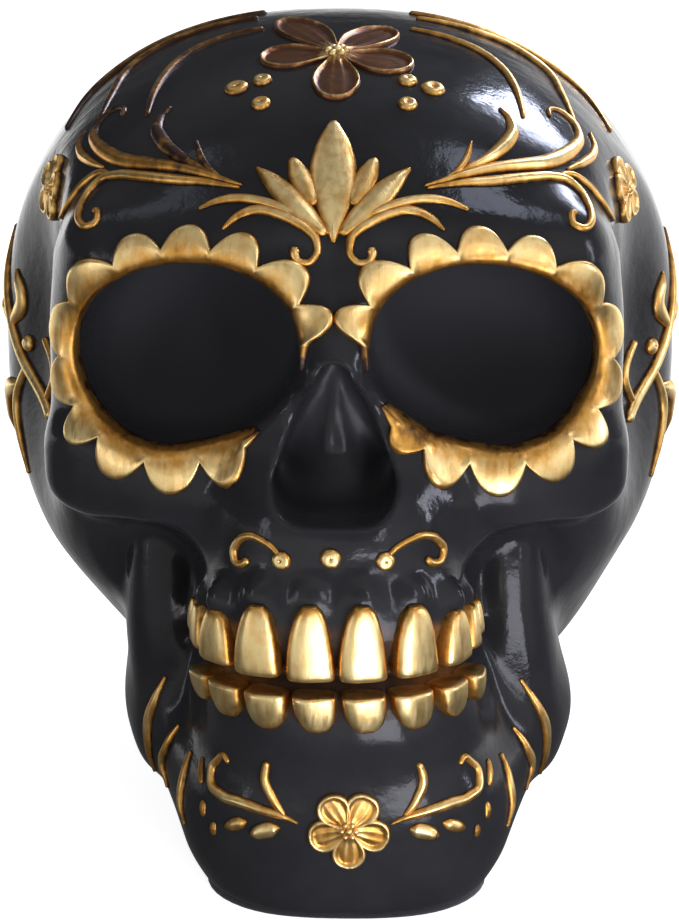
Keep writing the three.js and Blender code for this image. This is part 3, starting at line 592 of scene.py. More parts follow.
def antique_gilt(name, light, middle, glaze):
    """Gold paint over resin, from its rubbed light tone over its middle tone to its glaze."""
    material, tree = new_material(name)
    place = add_node(tree, "TexCoord").outputs["Object"]
    patch_size, streak_size, grain_size = 3.6 * MM, 1.1 * MM, 0.35 * MM
    rise = add_node(tree, "Attribute", attribute_name="rise").outputs["Fac"]
    patches = add_node(
        tree, "TexNoise", {"Vector": place, "Scale": 1 / patch_size, "Detail": 4, "Roughness": 0.6},
    )
    stretched = add_node(tree, "Mapping", {"Vector": place, "Scale": (1, 1, 0.22)})
    streaks = add_node(
        tree, "TexNoise",
        {"Vector": stretched.outputs[0], "Scale": 1 / streak_size, "Detail": 3, "Distortion": 0.4},
    )
    worn = add_node(tree, "Math", {0: patches.outputs["Fac"], 1: 0.85, 2: -0.44}, operation="MULTIPLY_ADD")
    brushed = add_node(
        tree, "Math", {0: streaks.outputs["Fac"], 1: 0.36, 2: worn.outputs[0]}, operation="MULTIPLY_ADD",
    )
    shade = add_node(tree, "Math", {0: rise, 1: 0.86, 2: brushed.outputs[0]}, operation="MULTIPLY_ADD")
    tone = add_node(tree, "ValToRGB", {"Fac": shade.outputs[0]})
    ramp = tone.color_ramp
    ramp.elements[0].position, ramp.elements[1].position = 0.2, 1.0
    ramp.elements[0].color, ramp.elements[1].color = colour(glaze), colour(light)
    ramp.elements.new(0.55).color = colour(middle)
    metal = add_node(
        tree, "MapRange",
        {"Value": shade.outputs[0], "From Min": 0.15, "From Max": 0.5, "To Min": 0.25, "To Max": 1},
    )
    rough = add_node(
        tree, "MapRange",
        {"Value": streaks.outputs["Fac"], "From Min": 0.3, "From Max": 0.7, "To Min": 0.3, "To Max": 0.46},
    )
    grain = add_node(tree, "TexNoise", {"Vector": place, "Scale": 1 / grain_size, "Detail": 2})
    strokes = add_node(
        tree, "Bump", {"Height": streaks.outputs["Fac"], "Distance": 0.12 * MM, "Strength": 0.45},
    )
    bump = add_node(
        tree, "Bump",
        {
            "Height": grain.outputs["Fac"], "Distance": 0.03 * MM, "Strength": 0.5,
            "Normal": strokes.outputs[0],
        },
    )
    shader = add_node(
        tree, "BsdfPrincipled",
        {
            "Base Color": tone.outputs["Color"], "Metallic": metal.outputs["Result"],
            "Roughness": rough.outputs["Result"], "Normal": bump.outputs[0],
        },
    )
    finish_material(tree, shader)
    return material


gilt = antique_gilt("antique_gold_paint", "#ffe2a0", "#dda24e", "#341a0a")
dark_gilt = antique_gilt("glazed_gold_paint", "#ffe0a0", "#8f5c33", "#4e2b14")
# A darker, browner gold: painted shade for gilt on the side of the head away from the light.
shaded_gilt = antique_gilt("shaded_gold_paint", "#d8ad6c", "#5c3b20", "#28170b")


def skin_from(view, a, b):
    """Places on the skin, as shares seen from the front, from above or from the left side."""
    a, b = np.asarray(a, float), np.asarray(b, float)
    if view == "front":
        return cast_rays(np.stack([a, -1 + 0 * a, b], axis=1) * sizes, inward, skin_gap)
    if view == "top":
        return cast_rays(np.stack([a, b, 2 + 0 * a], axis=1) * sizes, downward, skin_gap)
    return cast_rays(np.stack([2 + 0 * a, a, b], axis=1) * sizes, rightward, skin_gap)


def smooth_run(places, steps):
    """Points along a smooth curve through the given places, closer together at its ends."""
    places = np.asarray(places, float)
    lengths = np.concatenate([[0], np.cumsum(np.linalg.norm(np.diff(places, axis=0), axis=1))])
    slope = np.gradient(places, lengths, axis=0)
    share = np.arange(steps) / (steps - 1)
    travelled = (0.5 * share + 0.25 * (1 - np.cos(math.pi * share))) * lengths[-1]
    k = np.clip(np.searchsorted(lengths, travelled, side="right") - 1, 0, len(places) - 2)
    span = (lengths[k + 1] - lengths[k])[:, None]
    t = (travelled - lengths[k])[:, None] / span
    return (
        (2 * t**3 - 3 * t**2 + 1) * places[k] + (t**3 - 2 * t**2 + t) * span * slope[k]
        + (3 * t**2 - 2 * t**3) * places[k + 1] + (t**3 - t**2) * span * slope[k + 1]
    )


def raised(feet, heights, is_ring=False, root=relief_root, gap=skin_gap):
    """A closed shell over a net of skin points, each lifted by its height. Returns points, faces and rise."""
    count, strands = heights.shape
    flat = feet.reshape(-1, 3)
    out = slopes(gap, flat)
    top = flat + out * heights.reshape(-1, 1)
    bottom = flat - out * root
    size = count * strands
    faces = []
    for i in range(count if is_ring else count - 1):
        n = (i + 1) % count
        for j in range(strands - 1):
            a, b, c, d = i * strands + j, n * strands + j, n * strands + j + 1, i * strands + j + 1
            faces.append((a, b, c, d))
            faces.append((size + d, size + c, size + b, size + a))
        a, b = i * strands, n * strands
        faces.append((a, size + a, size + b, b))
        c, d = i * strands + strands - 1, n * strands + strands - 1
        faces.append((d, size + d, size + c, c))
    if not is_ring:
        for j in range(strands - 1):
            faces.append((j, j + 1, size + j + 1, size + j))
            e = (count - 1) * strands + j
            faces.append((e + 1, e, size + e, size + e + 1))
    rise = np.concatenate([np.clip(heights.reshape(-1) / relief_height, 0, 1), np.zeros(size)])
    return np.concatenate([top, bottom]), faces, rise


def crosswise(count):
    """Places across a stroke from -1 to 1, closer together at its edges."""
    return np.sin(np.linspace(-1, 1, count) * math.pi / 2)


def stroke(view, places, widths, height=relief_height, ridge=0.35, steps=44, strands=11):
    """A raised brush-like stroke over the skin. Widths are millimetres at even steps along it."""
    run = smooth_run(places, steps)
    spine = skin_from(view, run[:, 0], run[:, 1])
    travelled = np.concatenate([[0], np.cumsum(np.linalg.norm(np.diff(spine, axis=0), axis=1))])
    share = travelled / travelled[-1]
    half = np.interp(share, np.linspace(0, 1, len(widths)), widths) / 2
    half = np.convolve(np.pad(half, 2, mode="edge"), np.ones(5) / 5, mode="valid")
    to_end = np.minimum(travelled, travelled[-1] - travelled)
    round_end = np.sqrt(np.clip(1 - (1 - np.clip(to_end / np.maximum(half, 0.3), 0, 1)) ** 2, 0.03, 1))
    along = np.gradient(spine, axis=0)
    out = slopes(skin_gap, spine)
    across = np.cross(out, along)
    across /= np.linalg.norm(across, axis=1, keepdims=True)
    t = crosswise(strands)
    feet = spine[:, None] + across[:, None] * (half * round_end)[:, None, None] * t[None, :, None]
    feet = snapped(skin_gap, feet.reshape(-1, 3), rounds=2).reshape(feet.shape)
    section = (1 - ridge * np.abs(t)) * np.sqrt(np.clip(1 - np.abs(t) ** 5, 0, 1))
    slimness = np.clip(half / 1.1, 0.45, 1)
    return raised(feet, height * (round_end**0.6 * slimness)[:, None] * section[None, :])


def skin_frame(view, place):
    """A place on the skin, with the directions straight out of it and sideways and upward along it."""
    centre = skin_from(view, [place[0]], [place[1]])[0]
    out = slopes(skin_gap, centre[None])[0]
    level = inward if view == "side" else -rightward
    sideways = level - out * (level @ out)
    sideways /= np.linalg.norm(sideways)
    return centre, out, sideways, np.cross(out, sideways)


def dome(view, place, radius, height=relief_height, dish=0.0, rings=8, sides=20):
    """A round bead on the skin, with a dished top if asked."""
    centre, _, sideways, upward = skin_frame(view, place)
    reach = np.sin(np.linspace(0.02, 1, rings) * math.pi / 2)
    turn = np.linspace(0, 2 * math.pi, sides, endpoint=False)
    ring = np.cos(turn)[:, None] * sideways + np.sin(turn)[:, None] * upward
    feet = centre + radius * ring[:, None] * reach[None, ::-1, None]
    feet = snapped(skin_gap, feet.reshape(-1, 3), rounds=2).reshape(feet.shape)
    profile = np.sqrt(np.clip(1 - reach**2.6, 0, 1)) * (1 - dish * np.exp(-((reach / 0.45) ** 2)))
    return raised(feet, height * np.tile(profile[::-1], (sides, 1)), is_ring=True)


widest_share = 0.62


def petal_outline(s):
    """Half width of a petal by how far out it lies, as a share."""
    waist = 0.2 + 0.8 * np.sin(np.clip(s / widest_share, 0, 1) * math.pi / 2) ** 1.5
    tip = np.sqrt(np.clip(1 - (np.clip(s - widest_share, 0, 1) / (1 - widest_share)) ** 2, 0.0006, 1))
    return np.where(s < widest_share, waist, tip)


def petal(centre, lengthwise, sideways, width, dish, rim, ribs=0.4, steps=26, strands=19):
    """A dished petal with a raised rim and two ribs near its root, from a flower's centre outward."""
    s = 0.06 + 0.94 * np.sin(np.linspace(0, 1, steps) * math.pi / 2) ** 1.2
    t = crosswise(strands)
    feet = (
        centre + lengthwise * s[:, None, None]
        + sideways * (petal_outline(s) * width / 2)[:, None, None] * t[None, :, None]
    )
    feet = snapped(skin_gap, feet.reshape(-1, 3)).reshape(feet.shape)
    end = np.clip((s - widest_share) / (1 - widest_share), 0, 1)[:, None]
    edge = np.sqrt(t[None, :] ** 2 * (1 - end**2) + end**2)
    climb = np.clip((edge - 1 + 1.6 * rim) / rim, 0, 1)
    body = 1 - dish * (1 - eased(climb, 0, 1)) * np.clip(s / 0.3, 0, 1)[:, None]
    fall = np.sqrt(np.clip(1 - edge**9, 0, 1))
    lines = np.exp(-(((np.abs(t[None, :]) - 0.24) / 0.1) ** 2)) * ribs * np.clip(1.25 - s, 0, 1)[:, None]
    return raised(feet, relief_height * (body + lines) * fall)


def flower(view, place, angles, across, along, broad, button, dish, rim=0.3, lengths=(1, 1, 1, 1, 1)):
    """Petals at the given angles about a button with a knot of beads. They reach so far across and along
    the skin, and broad is their width as a share of that."""
    centre, out, sideways, upward = skin_frame(view, place)
    shells = []
    for angle, length in zip(np.radians(angles), lengths):
        reach = (sideways * math.cos(angle) * across + upward * math.sin(angle) * along) * length
        beside = np.cross(out, reach / np.linalg.norm(reach))
        width = broad * math.hypot(math.sin(angle) * across, math.cos(angle) * along)
        shells.append(petal(centre, reach, beside, width, dish, rim))
    shells.append(dome(view, place, button, 1.05 * relief_height, dish=0.2))
    for turn in range(6):
        ring = sideways * math.cos(turn * math.pi / 3) + upward * math.sin(turn * math.pi / 3)
        shells.append(ball_shell(centre + 0.62 * button * ring + 0.95 * relief_height * out, 0.3 * button))
    shells.append(ball_shell(centre + 1.05 * relief_height * out, 0.36 * button))
    return shells


def ball_shell(centre, radius, rings=7, sides=12):
    """A small bead as a closed ball."""
    turn = np.linspace(0, 2 * math.pi, sides, endpoint=False)
    circles = []
    for a in np.linspace(0, math.pi, rings + 2)[1:-1]:
        circle = [np.sin(a) * np.cos(turn), np.sin(a) * np.sin(turn), 0 * turn - np.cos(a)]
        circles.append(centre + radius * np.stack(circle, axis=1))
    points, faces = lofted(circles)
    return points, faces, np.tile(np.linspace(0.6, 1, rings)[:, None], (1, sides)).reshape(-1)


def joined(shells):
    points, faces, rise, count = [], [], [], 0
    for shell_points, shell_faces, shell_rise in shells:
        points.append(shell_points)
        faces += [tuple(index + count for index in face) for face in shell_faces]
        rise.append(shell_rise)
        count += len(shell_points)
    return np.concatenate(points), faces, np.concatenate(rise)


def gild(name, shells, nodes, material=gilt):
    """Makes one gilt piece that stands for the given nodes of the frame."""
    points, faces, rise = joined(shells)
    made = object_from(name, points, faces, {"rise": rise})
    made.data.materials.append(material)
    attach(made, "root")
    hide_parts(*nodes)
    return made


def flipped(shells):
    """The same shells for the other side of the face."""
    return [(points * (-1, 1, 1), [face[::-1] for face in faces], rise) for points, faces, rise in shells]


def gild_pair(name, shells, node, material=gilt):
    """The same piece on both sides of the face."""
    gild(name + "_left", shells, [node + "_left"], material)
    gild(name + "_right", flipped(shells), [node + "_right"], material)


# Crown flower: five deeply dished petals moulded on the top of the head, the two at the back longer.
# The brown glaze was left standing in the dishes, and the thin rims were rubbed bright.
gild(
    "crown_blossom",
    flower(
        "top", (0.003, -0.025), (-90, -10, 57, 116, 178), 13.4, 17, 0.62, button=2.4, dish=0.9, rim=0.13,
        lengths=(1, 1, 1.25, 1.65, 1),
    ),
    ["crown_flower"],
    dark_gilt,
)

# Crown beads: three round drops of resin on each side of the crown flower, moulded with the head.
# Each has a small pit in its top and is touched with gold from above.
gild_pair("crown_drop_outer", [dome("top", (0.27, -0.094), 2.1, dish=0.5)], "crown_bead_outer")
gild_pair("crown_drop_upper", [dome("top", (0.2, -0.085), 1.7, dish=0.3)], "crown_bead_upper")
gild_pair("crown_drop_lower", [dome("top", (0.2, -0.135), 1.7, dish=0.45)], "crown_bead_lower")

# Crown arcs: three long thin bands that run round each side of the cranium from the back of the crown.
# They are moulded ridges, gilded bright on the left. Those on the right are painted darker brown: painted
# shade for the side of the head away from the light.
arcs = {
    "outer": [(0.21, 0.23), (0.39, 0.212), (0.59, 0.2), (0.74, 0.165), (0.79, 0.1)],
    "middle": [(0.23, 0.185), (0.39, 0.182), (0.53, 0.168), (0.62, 0.12), (0.644, 0.055), (0.668, -0.016)],
    "inner": [(0.21, 0.11), (0.33, 0.095), (0.43, 0.06), (0.48, 0.015), (0.51, -0.043), (0.52, -0.092)],
}
for name, places in arcs.items():
    band = [stroke("top", places, (1.2, 1.7, 1.8, 1.5, 0.8), steps=56)]
    gild(f"crown_band_{name}_left", band, [f"crown_arc_{name}_left"])
    gild(f"crown_band_{name}_right", flipped(band), [f"crown_arc_{name}_right"], shaded_gilt)

# Forehead lotus: a tall pointed leaf between two short and two long ones, all rising from one point.
# It is moulded low on the forehead in one piece and gilded over its whole face.
lotus = [
    stroke(
        "front", [(0, 0.823), (0, 0.851), (0, 0.9), (0, 0.941)], (0.8, 5, 7.6, 8, 5.6, 0.8),
        ridge=0.25, strands=17,
    ),
]
for side in (-1, 1):
    lotus += [
        stroke(
            "front", [(0.05 * side, 0.862), (0.083 * side, 0.885), (0.113 * side, 0.907)], (2.2, 4, 3.8, 1.4),
            height=0.95,
        ),
        stroke(
            "front",
            [(0.02 * side, 0.832), (0.092 * side, 0.86), (0.147 * side, 0.879), (0.207 * side, 0.897)],
            (1.6, 4, 4.6, 3.4, 0.6), height=1.1,
        ),
    ]
gild("forehead_leaves", lotus, ["forehead_lotus"])


# Eye petals: a ring of round petals moulded about each socket, thirteen on the left and twelve on the right.
# The gold runs over the rim and a little way down the wall of the socket, and next to the nose only a bare
# rim is gilded. The shares of a turn say where each petal ends, from the nose over the brow to the cheek.
petal_edge_shares = [
    0.472, 0.424, 0.358, 0.294, 0.222, 0.146, 0.056, -0.019, -0.081, -0.128, -0.194, -0.272, -0.347, -0.403,
]
rim_width, petal_reach, petal_reach_below, petal_reach_nose = 1.8, 5.6, 7.2, 1.6
lip_depth, full_petals, last_petal_share = 3.2, 12, 0.55


def walked(gap, points, headings, lengths, steps):
    """Points reached by walking given lengths over a surface, with every step on the way."""
    path = [points]
    along = headings
    for _ in range(steps):
        out = slopes(gap, points)
        along = along - out * (along * out).sum(axis=1, keepdims=True)
        along /= np.linalg.norm(along, axis=1, keepdims=True)
        points = snapped(gap, points + along * (lengths / steps)[:, None], rounds=2)
        path.append(points)
    return np.stack(path, axis=1)


def open_gap(points):
    """The skin with the eye sockets cut into it."""
    return soft_cut(skin_gap(points), form_gap(socket, fold(points)), socket_edge)


def eye_ring(count, per_petal=20, outer_steps=12, inner_steps=7, tail_steps=14):
    """The petals of one socket with the gilt rim inside them, and a bare rim that fades out past each end."""
    order = np.arange(count * per_petal + 1) / per_petal
    tail = 0.032 * np.linspace(0, 1, tail_steps + 1)[1:]
    petals = np.interp(order, np.arange(count + 1), petal_edge_shares[: count + 1])
    angle = 2 * math.pi * np.concatenate([petals[0] + tail[::-1], petals, petals[-1] - tail])
    bare = np.zeros(tail_steps)
    scallop = np.concatenate([bare, np.clip(1 - np.abs(2 * (order % 1) - 1) ** 2.2, 0, 1) ** 1.1, bare])
    growing = np.linspace(0, 1, tail_steps + 1)[:-1]
    fade = np.concatenate([growing, 1 + 0 * order, np.linspace(1, 0, tail_steps + 1)[1:]])
    after_last = last_petal_share if count > full_petals else 1
    last_petal = np.concatenate([bare, np.where(order > full_petals, last_petal_share, 1), bare + after_last])
    heading = np.stack([np.cos(angle), 0 * angle, np.sin(angle)], axis=1)
    near, far = np.full(len(angle), socket_height / 4), np.full(len(angle), 0.6 * socket_width)
    for _ in range(12):
        middle = (near + far) / 2
        spots = (socket["at"] + heading * middle[:, None]) / sizes
        in_socket = form_gap(socket, skin_from("front", spots[:, 0], spots[:, 2])) < 0.3
        near, far = np.where(in_socket, middle, near), np.where(in_socket, far, middle)
    spots = (socket["at"] + heading * far[:, None]) / sizes
    rim = skin_from("front", spots[:, 0], spots[:, 2])
    rim = snapped(open_gap, rim)
    reach = petal_reach + (petal_reach_below - petal_reach) * np.clip(-heading[:, 2], 0, 1) ** 0.6
    reach += petal_reach_nose * np.clip(heading @ (-0.8, 0, 0.6) - 0.4, 0, 1)
    thinning = 0.3 + 0.7 * fade
    wide = np.where(scallop > 0, rim_width, rim_width * thinning)
    lengths = wide + (reach - wide) * scallop * last_petal
    outer = walked(skin_gap, snapped(skin_gap, rim), heading, lengths, outer_steps)
    outer = snapped(open_gap, outer[:, 1:].reshape(-1, 3)).reshape(len(angle), -1, 3)
    inner = walked(open_gap, rim, -heading + inward * 0.5, lip_depth * thinning, inner_steps)
    feet = np.concatenate([inner[:, ::-1], outer], axis=1)
    t = np.concatenate([np.linspace(-1, 0, inner_steps + 1), np.linspace(0, 1, outer_steps + 1)[1:]])
    lift = np.interp(t, (-1, -0.6, 0, 0.5, 1), (0.05, 0.25, 0.45, 0.85, 1))
    fall = np.sqrt(np.clip(1 - np.clip(t, 0, 1) ** 12, 0, 1))
    heights = relief_height * np.tile(lift * fall, (len(angle), 1)) * (0.25 + 0.75 * fade**0.5)[:, None]
    points, faces, _ = raised(feet, heights, False, 0.4, open_gap)
    roll = np.interp(t, (-1, -0.5, 0, 0.45, 0.85, 1), (0, 0.12, 0.42, 0.78, 0.92, 1))
    shade = (roll * fall)[None, :] * (fade**0.7 * (0.25 + 0.75 * last_petal**2))[:, None]
    return points, faces, np.concatenate([shade.reshape(-1), np.zeros(shade.size)])


gild("eye_petals_left", [eye_ring(full_petals + 1)], ["eye_petal_ring_left"])
gild("eye_petals_right", flipped([eye_ring(full_petals)]), ["eye_petal_ring_right"])

# Brow scrolls: from the foot of the lotus, a long blade and a C-shaped scroll sweep out over each brow.
# They are moulded strokes that swell and taper like a brush mark, gilded along their ridge.
brow = [
    stroke(
        "front",
        [
            (0.011, 0.8331), (0.047, 0.8436), (0.092, 0.8531), (0.153, 0.8618),
            (0.213, 0.8666), (0.278, 0.8663), (0.328, 0.8609), (0.362, 0.8543),
        ],
        (0.7, 1.4, 1.8, 1.8, 1.6, 0.7),
    ),
    stroke(
        "front",
        [
            (0.095, 0.821), (0.104, 0.815), (0.098, 0.808), (0.08, 0.8045), (0.056, 0.807),
            (0.043, 0.8166), (0.046, 0.8276), (0.066, 0.8378), (0.102, 0.8472), (0.152, 0.8548),
            (0.202, 0.8574), (0.247, 0.852), (0.276, 0.8443), (0.296, 0.8356),
        ],
        (1.9, 1.2, 1.2, 1.6, 1.8, 1.8, 1.8, 1.7, 1.4, 0.6), steps=64,
    ),
]
gild_pair("brow_flourish", brow, "brow_scroll")

# Temple sprays: acanthus stems that fan out from a point over each brow and curl on the temple.
# Each spray is moulded in one piece with the head, with ridged stems that take the gold on their crest.
spray = [
    stroke(
        "top",
        [
            (0.243, -0.2381), (0.297, -0.2264), (0.356, -0.2127), (0.423, -0.1959), (0.514, -0.1708),
            (0.574, -0.1491), (0.621, -0.1215), (0.658, -0.0871), (0.677, -0.0509), (0.668, -0.026),
            (0.641, -0.0163), (0.613, -0.0206), (0.593, -0.0379), (0.597, -0.0528),
        ],
        (0.5, 1.4, 2, 2.4, 2.8, 3, 2.8, 2.3, 1.5, 1.1, 1), steps=70, ridge=0.5,
    ),
    stroke(
        "top",
        [
            (0.25, -0.24), (0.336, -0.226), (0.452, -0.2056), (0.531, -0.1846), (0.592, -0.1649),
            (0.643, -0.1543), (0.676, -0.1619), (0.692, -0.1877), (0.694, -0.2067), (0.681, -0.2208),
            (0.657, -0.2271), (0.64, -0.2243), (0.64, -0.2153), (0.655, -0.2121),
        ],
        (0.5, 1.2, 1.7, 2, 2, 1.9, 1.8, 1.7, 1.6, 1.4, 1.3, 1.3), steps=80,
    ),
    stroke(
        "top",
        [
            (0.33, -0.217), (0.365, -0.2036), (0.4, -0.1912), (0.441, -0.1717), (0.473, -0.1483),
            (0.487, -0.1292), (0.48, -0.1102), (0.451, -0.0946),
        ],
        (0.5, 1.4, 2, 2.5, 2.7, 2.5, 1.6, 0.5), ridge=0.55,
    ),
    stroke(
        "top", [(0.3, -0.2254), (0.345, -0.2049), (0.362, -0.1897), (0.372, -0.1715)], (0.5, 1.3, 1.3, 0.5),
    ),
    stroke(
        "top", [(0.634, -0.1364), (0.683, -0.0998), (0.712, -0.0645), (0.722, -0.0313), (0.71, -0.0105)],
        (0.6, 1.5, 1.9, 1.5, 0.5), ridge=0.5,
    ),
    stroke(
        "side",
        [
            (-0.165, 0.868), (-0.15, 0.872), (-0.136, 0.868), (-0.13, 0.855),
            (-0.129, 0.84), (-0.122, 0.822), (-0.11, 0.806),
        ],
        (0.6, 1.3, 1.5, 1.5, 1.3, 0.6), steps=60,
    ),
]
gild("temple_leaves_left", spray, ["temple_spray_left"])
# On the other side the upper ends of the leaves are painted dark brown: painted shade for the side of the
# head away from the light.
shade_levels, shade_cover = (123.5, 128.5), 0.95
shaded_spray = [
    # Painted shade: above these levels the gold turns to dark brown glaze colour.
    (points, faces, rise * (1 - shade_cover * eased(points[:, 2], *shade_levels)))
    for points, faces, rise in spray
]
gild("temple_leaves_right", flipped(shaded_spray), ["temple_spray_right"])

# Temple flowers: a small flower with five dished petals, moulded on each side of the head.
# Its rims and the beads on its button are rubbed bright, and its dishes keep a little glaze.
gild_pair(
    "temple_blossom",
    flower("side", (0.003, 0.817), (90, 162, 234, 306, 18), 6.2, 6.2, 0.85, button=1.5, dish=0.5),
    "temple_flower",
)

# Side vines: a forked stem with narrow leaves and one berry that climbs each side of the cranium.
# It is moulded as one low relief and gilded like the rest.
vine = [
    stroke("side", [(-0.01, 0.52), (0.06, 0.575), (0.1, 0.63), (0.16, 0.73)], (2.4, 2.4, 2.2, 1.9, 0.9)),
    stroke("side", [(0.01, 0.54), (0.0, 0.575), (0.03, 0.615)], (1.6, 1.9, 1.5)),
    stroke("side", [(0.09, 0.615), (0.07, 0.65), (0.085, 0.69)], (1.2, 3.4, 3.2, 0.7)),
    stroke("side", [(0.1, 0.63), (0.15, 0.625), (0.18, 0.59)], (1.2, 3.2, 3, 0.7)),
    stroke("side", [(0.055, 0.57), (0.07, 0.52), (0.04, 0.43)], (1.6, 2, 1.8, 0.8)),
    stroke("side", [(0.06, 0.545), (0.11, 0.52), (0.12, 0.46)], (1.2, 3.4, 3.2, 0.8)),
    dome("side", (0.055, 0.6), 1.6),
]
gild_pair("side_tendrils", vine, "side_vine")

# Lip beads and curls: a bead under the nose and one on each side, with a hooked moustache curl.
# They are moulded on the upper jaw. The curl on the left is drawn out a little wider than the other.
gild("lip_drop", [dome("front", (-0.007, 0.469), 1.8, dish=0.2)], ["lip_bead"])
for name, spread, flip in (("left", 1.1, False), ("right", 0.92, True)):
    hook = [
        (0.142, 0.4677), (0.165, 0.478), (0.197, 0.4854), (0.236, 0.4878), (0.27, 0.4772),
        (0.283, 0.4634), (0.278, 0.4533), (0.256, 0.4521), (0.238, 0.4599),
    ]
    hook = [(0.142 + spread * (across - 0.142), level) for across, level in hook]
    curl = [
        dome("front", (0.14, 0.464), 1.7, dish=0.2),
        stroke("front", hook, (1, 1.2, 1.3, 1.5, 1.6, 1.6, 1.4), steps=50),
    ]
    gild("lip_flourish_" + name, flipped(curl) if flip else curl, ["lip_curl_" + name])


# Teeth: cast with the jaws and gilded one by one. Each is a rounded block, narrow and blunt at the gum
# and wide at the bite, with brown glaze left between them.
tooth_thickness = 5.6
upper_teeth = dict(height=13, width=7.9, side=1)
lower_teeth = dict(height=7.4, width=7.5, side=-1)
# For each tooth from the middle out: its angle round the arch, then width, height and lift as shares.
upper_shares = [
    (8.8, 1.04, 1, 0), (26.6, 1.02, 0.93, -0.01), (43.5, 0.98, 0.7, -0.1),
    (58, 0.86, 0.56, -0.16), (70, 0.72, 0.48, -0.18),
]
lower_shares = [(8.8, 1, 0.9, -0.058), (26, 0.99, 0.9, -0.05), (42.5, 0.95, 0.82, -0.03), (57, 0.82, 0.7, 0)]
# Half widths from the bite to the gum, as pairs of shares: how far up, and how wide.
outline_shares = {
    1: [(0, 0.9), (0.03, 0.98), (0.1, 1), (0.35, 0.95), (0.6, 0.84), (0.8, 0.68), (0.92, 0.52), (1, 0.3)],
    -1: [(0, 0.92), (0.05, 0.99), (0.15, 1), (0.5, 0.95), (0.75, 0.8), (0.9, 0.6), (1, 0.35)],
}


def tooth(angle, wide, tall, lift, height, width, side, facet=0.35, levels=22, sides=36):
    """A tooth above or below the bite, by its side. Its facet turns the crest of its face to one side."""
    middle = mouth_level + side * (mouth_opening + height / 2) + lift * height
    root = arch_place(angle, middle)[0]
    outward = slopes(skin_gap, root[None])[0] * (1, 1, 0)
    outward /= np.linalg.norm(outward)
    sideways = np.cross(outward, (0, 0, 1))
    root = root + outward * 0.04 * max(abs(angle) - 40, 0)
    up = np.sin(np.linspace(-1, 1, levels) * math.pi / 2)
    to_gum = (1 + up) / 2
    end = np.sqrt(np.clip(1 - np.abs(up) ** 14, 0.02, 1))
    half = np.interp(to_gum, *np.transpose(outline_shares[side])) * width * wide / 2
    deep = (tooth_thickness / 2) * (1 - 0.35 * to_gum**2.5) * (0.6 + 0.4 * end)
    turns_round = np.linspace(0, 2 * math.pi, sides, endpoint=False)
    x = np.sign(np.sin(turns_round)) * np.abs(np.sin(turns_round)) ** 0.55
    y = np.sign(np.cos(turns_round)) * np.abs(np.cos(turns_round)) ** 0.45
    y *= 1.06 - 0.2 * np.abs(x - facet)
    rings = []
    for level, h, d in zip(up, half, deep):
        ring = root * (1, 1, 0) + sideways * x[:, None] * h + outward * y[:, None] * d
        ring[:, 2] = root[2] + side * level * height * tall / 2
        rings.append(ring)
    points, faces = lofted(rings)
    if side > 0:
        faces = [face[::-1] for face in faces]
    edge = np.clip(1.15 - np.abs(np.tile(x, levels)) ** 6 * 0.8, 0, 1)
    gum = np.clip(1.2 - np.repeat(to_gum, sides) ** 7 * 0.9, 0, 1)
    return points, faces, 0.92 * edge * gum


for row, shares, sizes_of_row in (("upper", upper_shares, upper_teeth), ("lower", lower_shares, lower_teeth)):
    for number, (angle, wide, tall, lift) in enumerate(shares, start=1):
        name = f"{row}_tooth_{number}"
        left = [tooth(angle - tooth_lean, wide, tall, lift, **sizes_of_row)]
        gild(f"gilt_{name}_left", left, [name + "_left"])
        right = flipped([tooth(angle + tooth_lean, wide, tall, lift, facet=-0.35, **sizes_of_row)])
        gild(f"gilt_{name}_right", right, [name + "_right"])

# Chin flower: five dished petals about a button set with beads, in the middle of the chin.
# It is moulded with the jaw and gilded over its whole face.
gild(
    "chin_blossom",
    flower("front", (0.012, 0.13), (-90, -14, 58, 126, 196), 7.2, 7.2, 0.84, button=1.9, dish=0.6, rim=0.25),
    ["chin_flower"],
)

# Chin scrolls: a broad hooked stem with one branch on each side of the chin flower.
# They are ridged like the temple sprays, moulded with the jaw and gilded on their crest.
chin = [
    stroke(
        "front",
        [
            (0.127, 0.1365), (0.179, 0.1451), (0.227, 0.1497), (0.29, 0.1545), (0.344, 0.1571),
            (0.373, 0.1655), (0.371, 0.1795), (0.352, 0.1932), (0.331, 0.202), (0.32, 0.1948),
        ],
        (0.5, 1.4, 1.9, 2.1, 2.1, 1.9, 1.7, 1.4, 1.1), steps=60, ridge=0.5,
    ),
    stroke(
        "front", [(0.165, 0.145), (0.201, 0.1664), (0.218, 0.1856), (0.209, 0.2105)],
        (0.9, 1.6, 1.9, 1.7, 1.2),
    ),
]
gild_pair("chin_flourish", chin, "chin_scroll")

# Chin lozenges: two leaf-shaped drops under each chin scroll and three small upright seeds beside it.
# They are low lumps moulded with the jaw, gilded one by one.
drops = [
    stroke("front", [(0.178, 0.1301), (0.22, 0.1246), (0.262, 0.1171)], (0.8, 2.8, 3, 2.6, 0.8)),
    stroke("front", [(0.27, 0.1332), (0.299, 0.1276), (0.334, 0.12)], (0.6, 2.2, 2.4, 2, 0.6), height=0.9),
    stroke("front", [(0.403, 0.1578), (0.404, 0.1718), (0.4, 0.1848)], (1.2, 1.7, 1.2), height=0.8),
    stroke("front", [(0.396, 0.1228), (0.398, 0.1328), (0.395, 0.1427)], (1.1, 1.6, 1.1), height=0.8),
    stroke("front", [(0.366, 0.1044), (0.368, 0.1124), (0.365, 0.1214)], (1, 1.5, 1), height=0.8),
]
gild_pair("chin_drops", drops, "chin_lozenge")

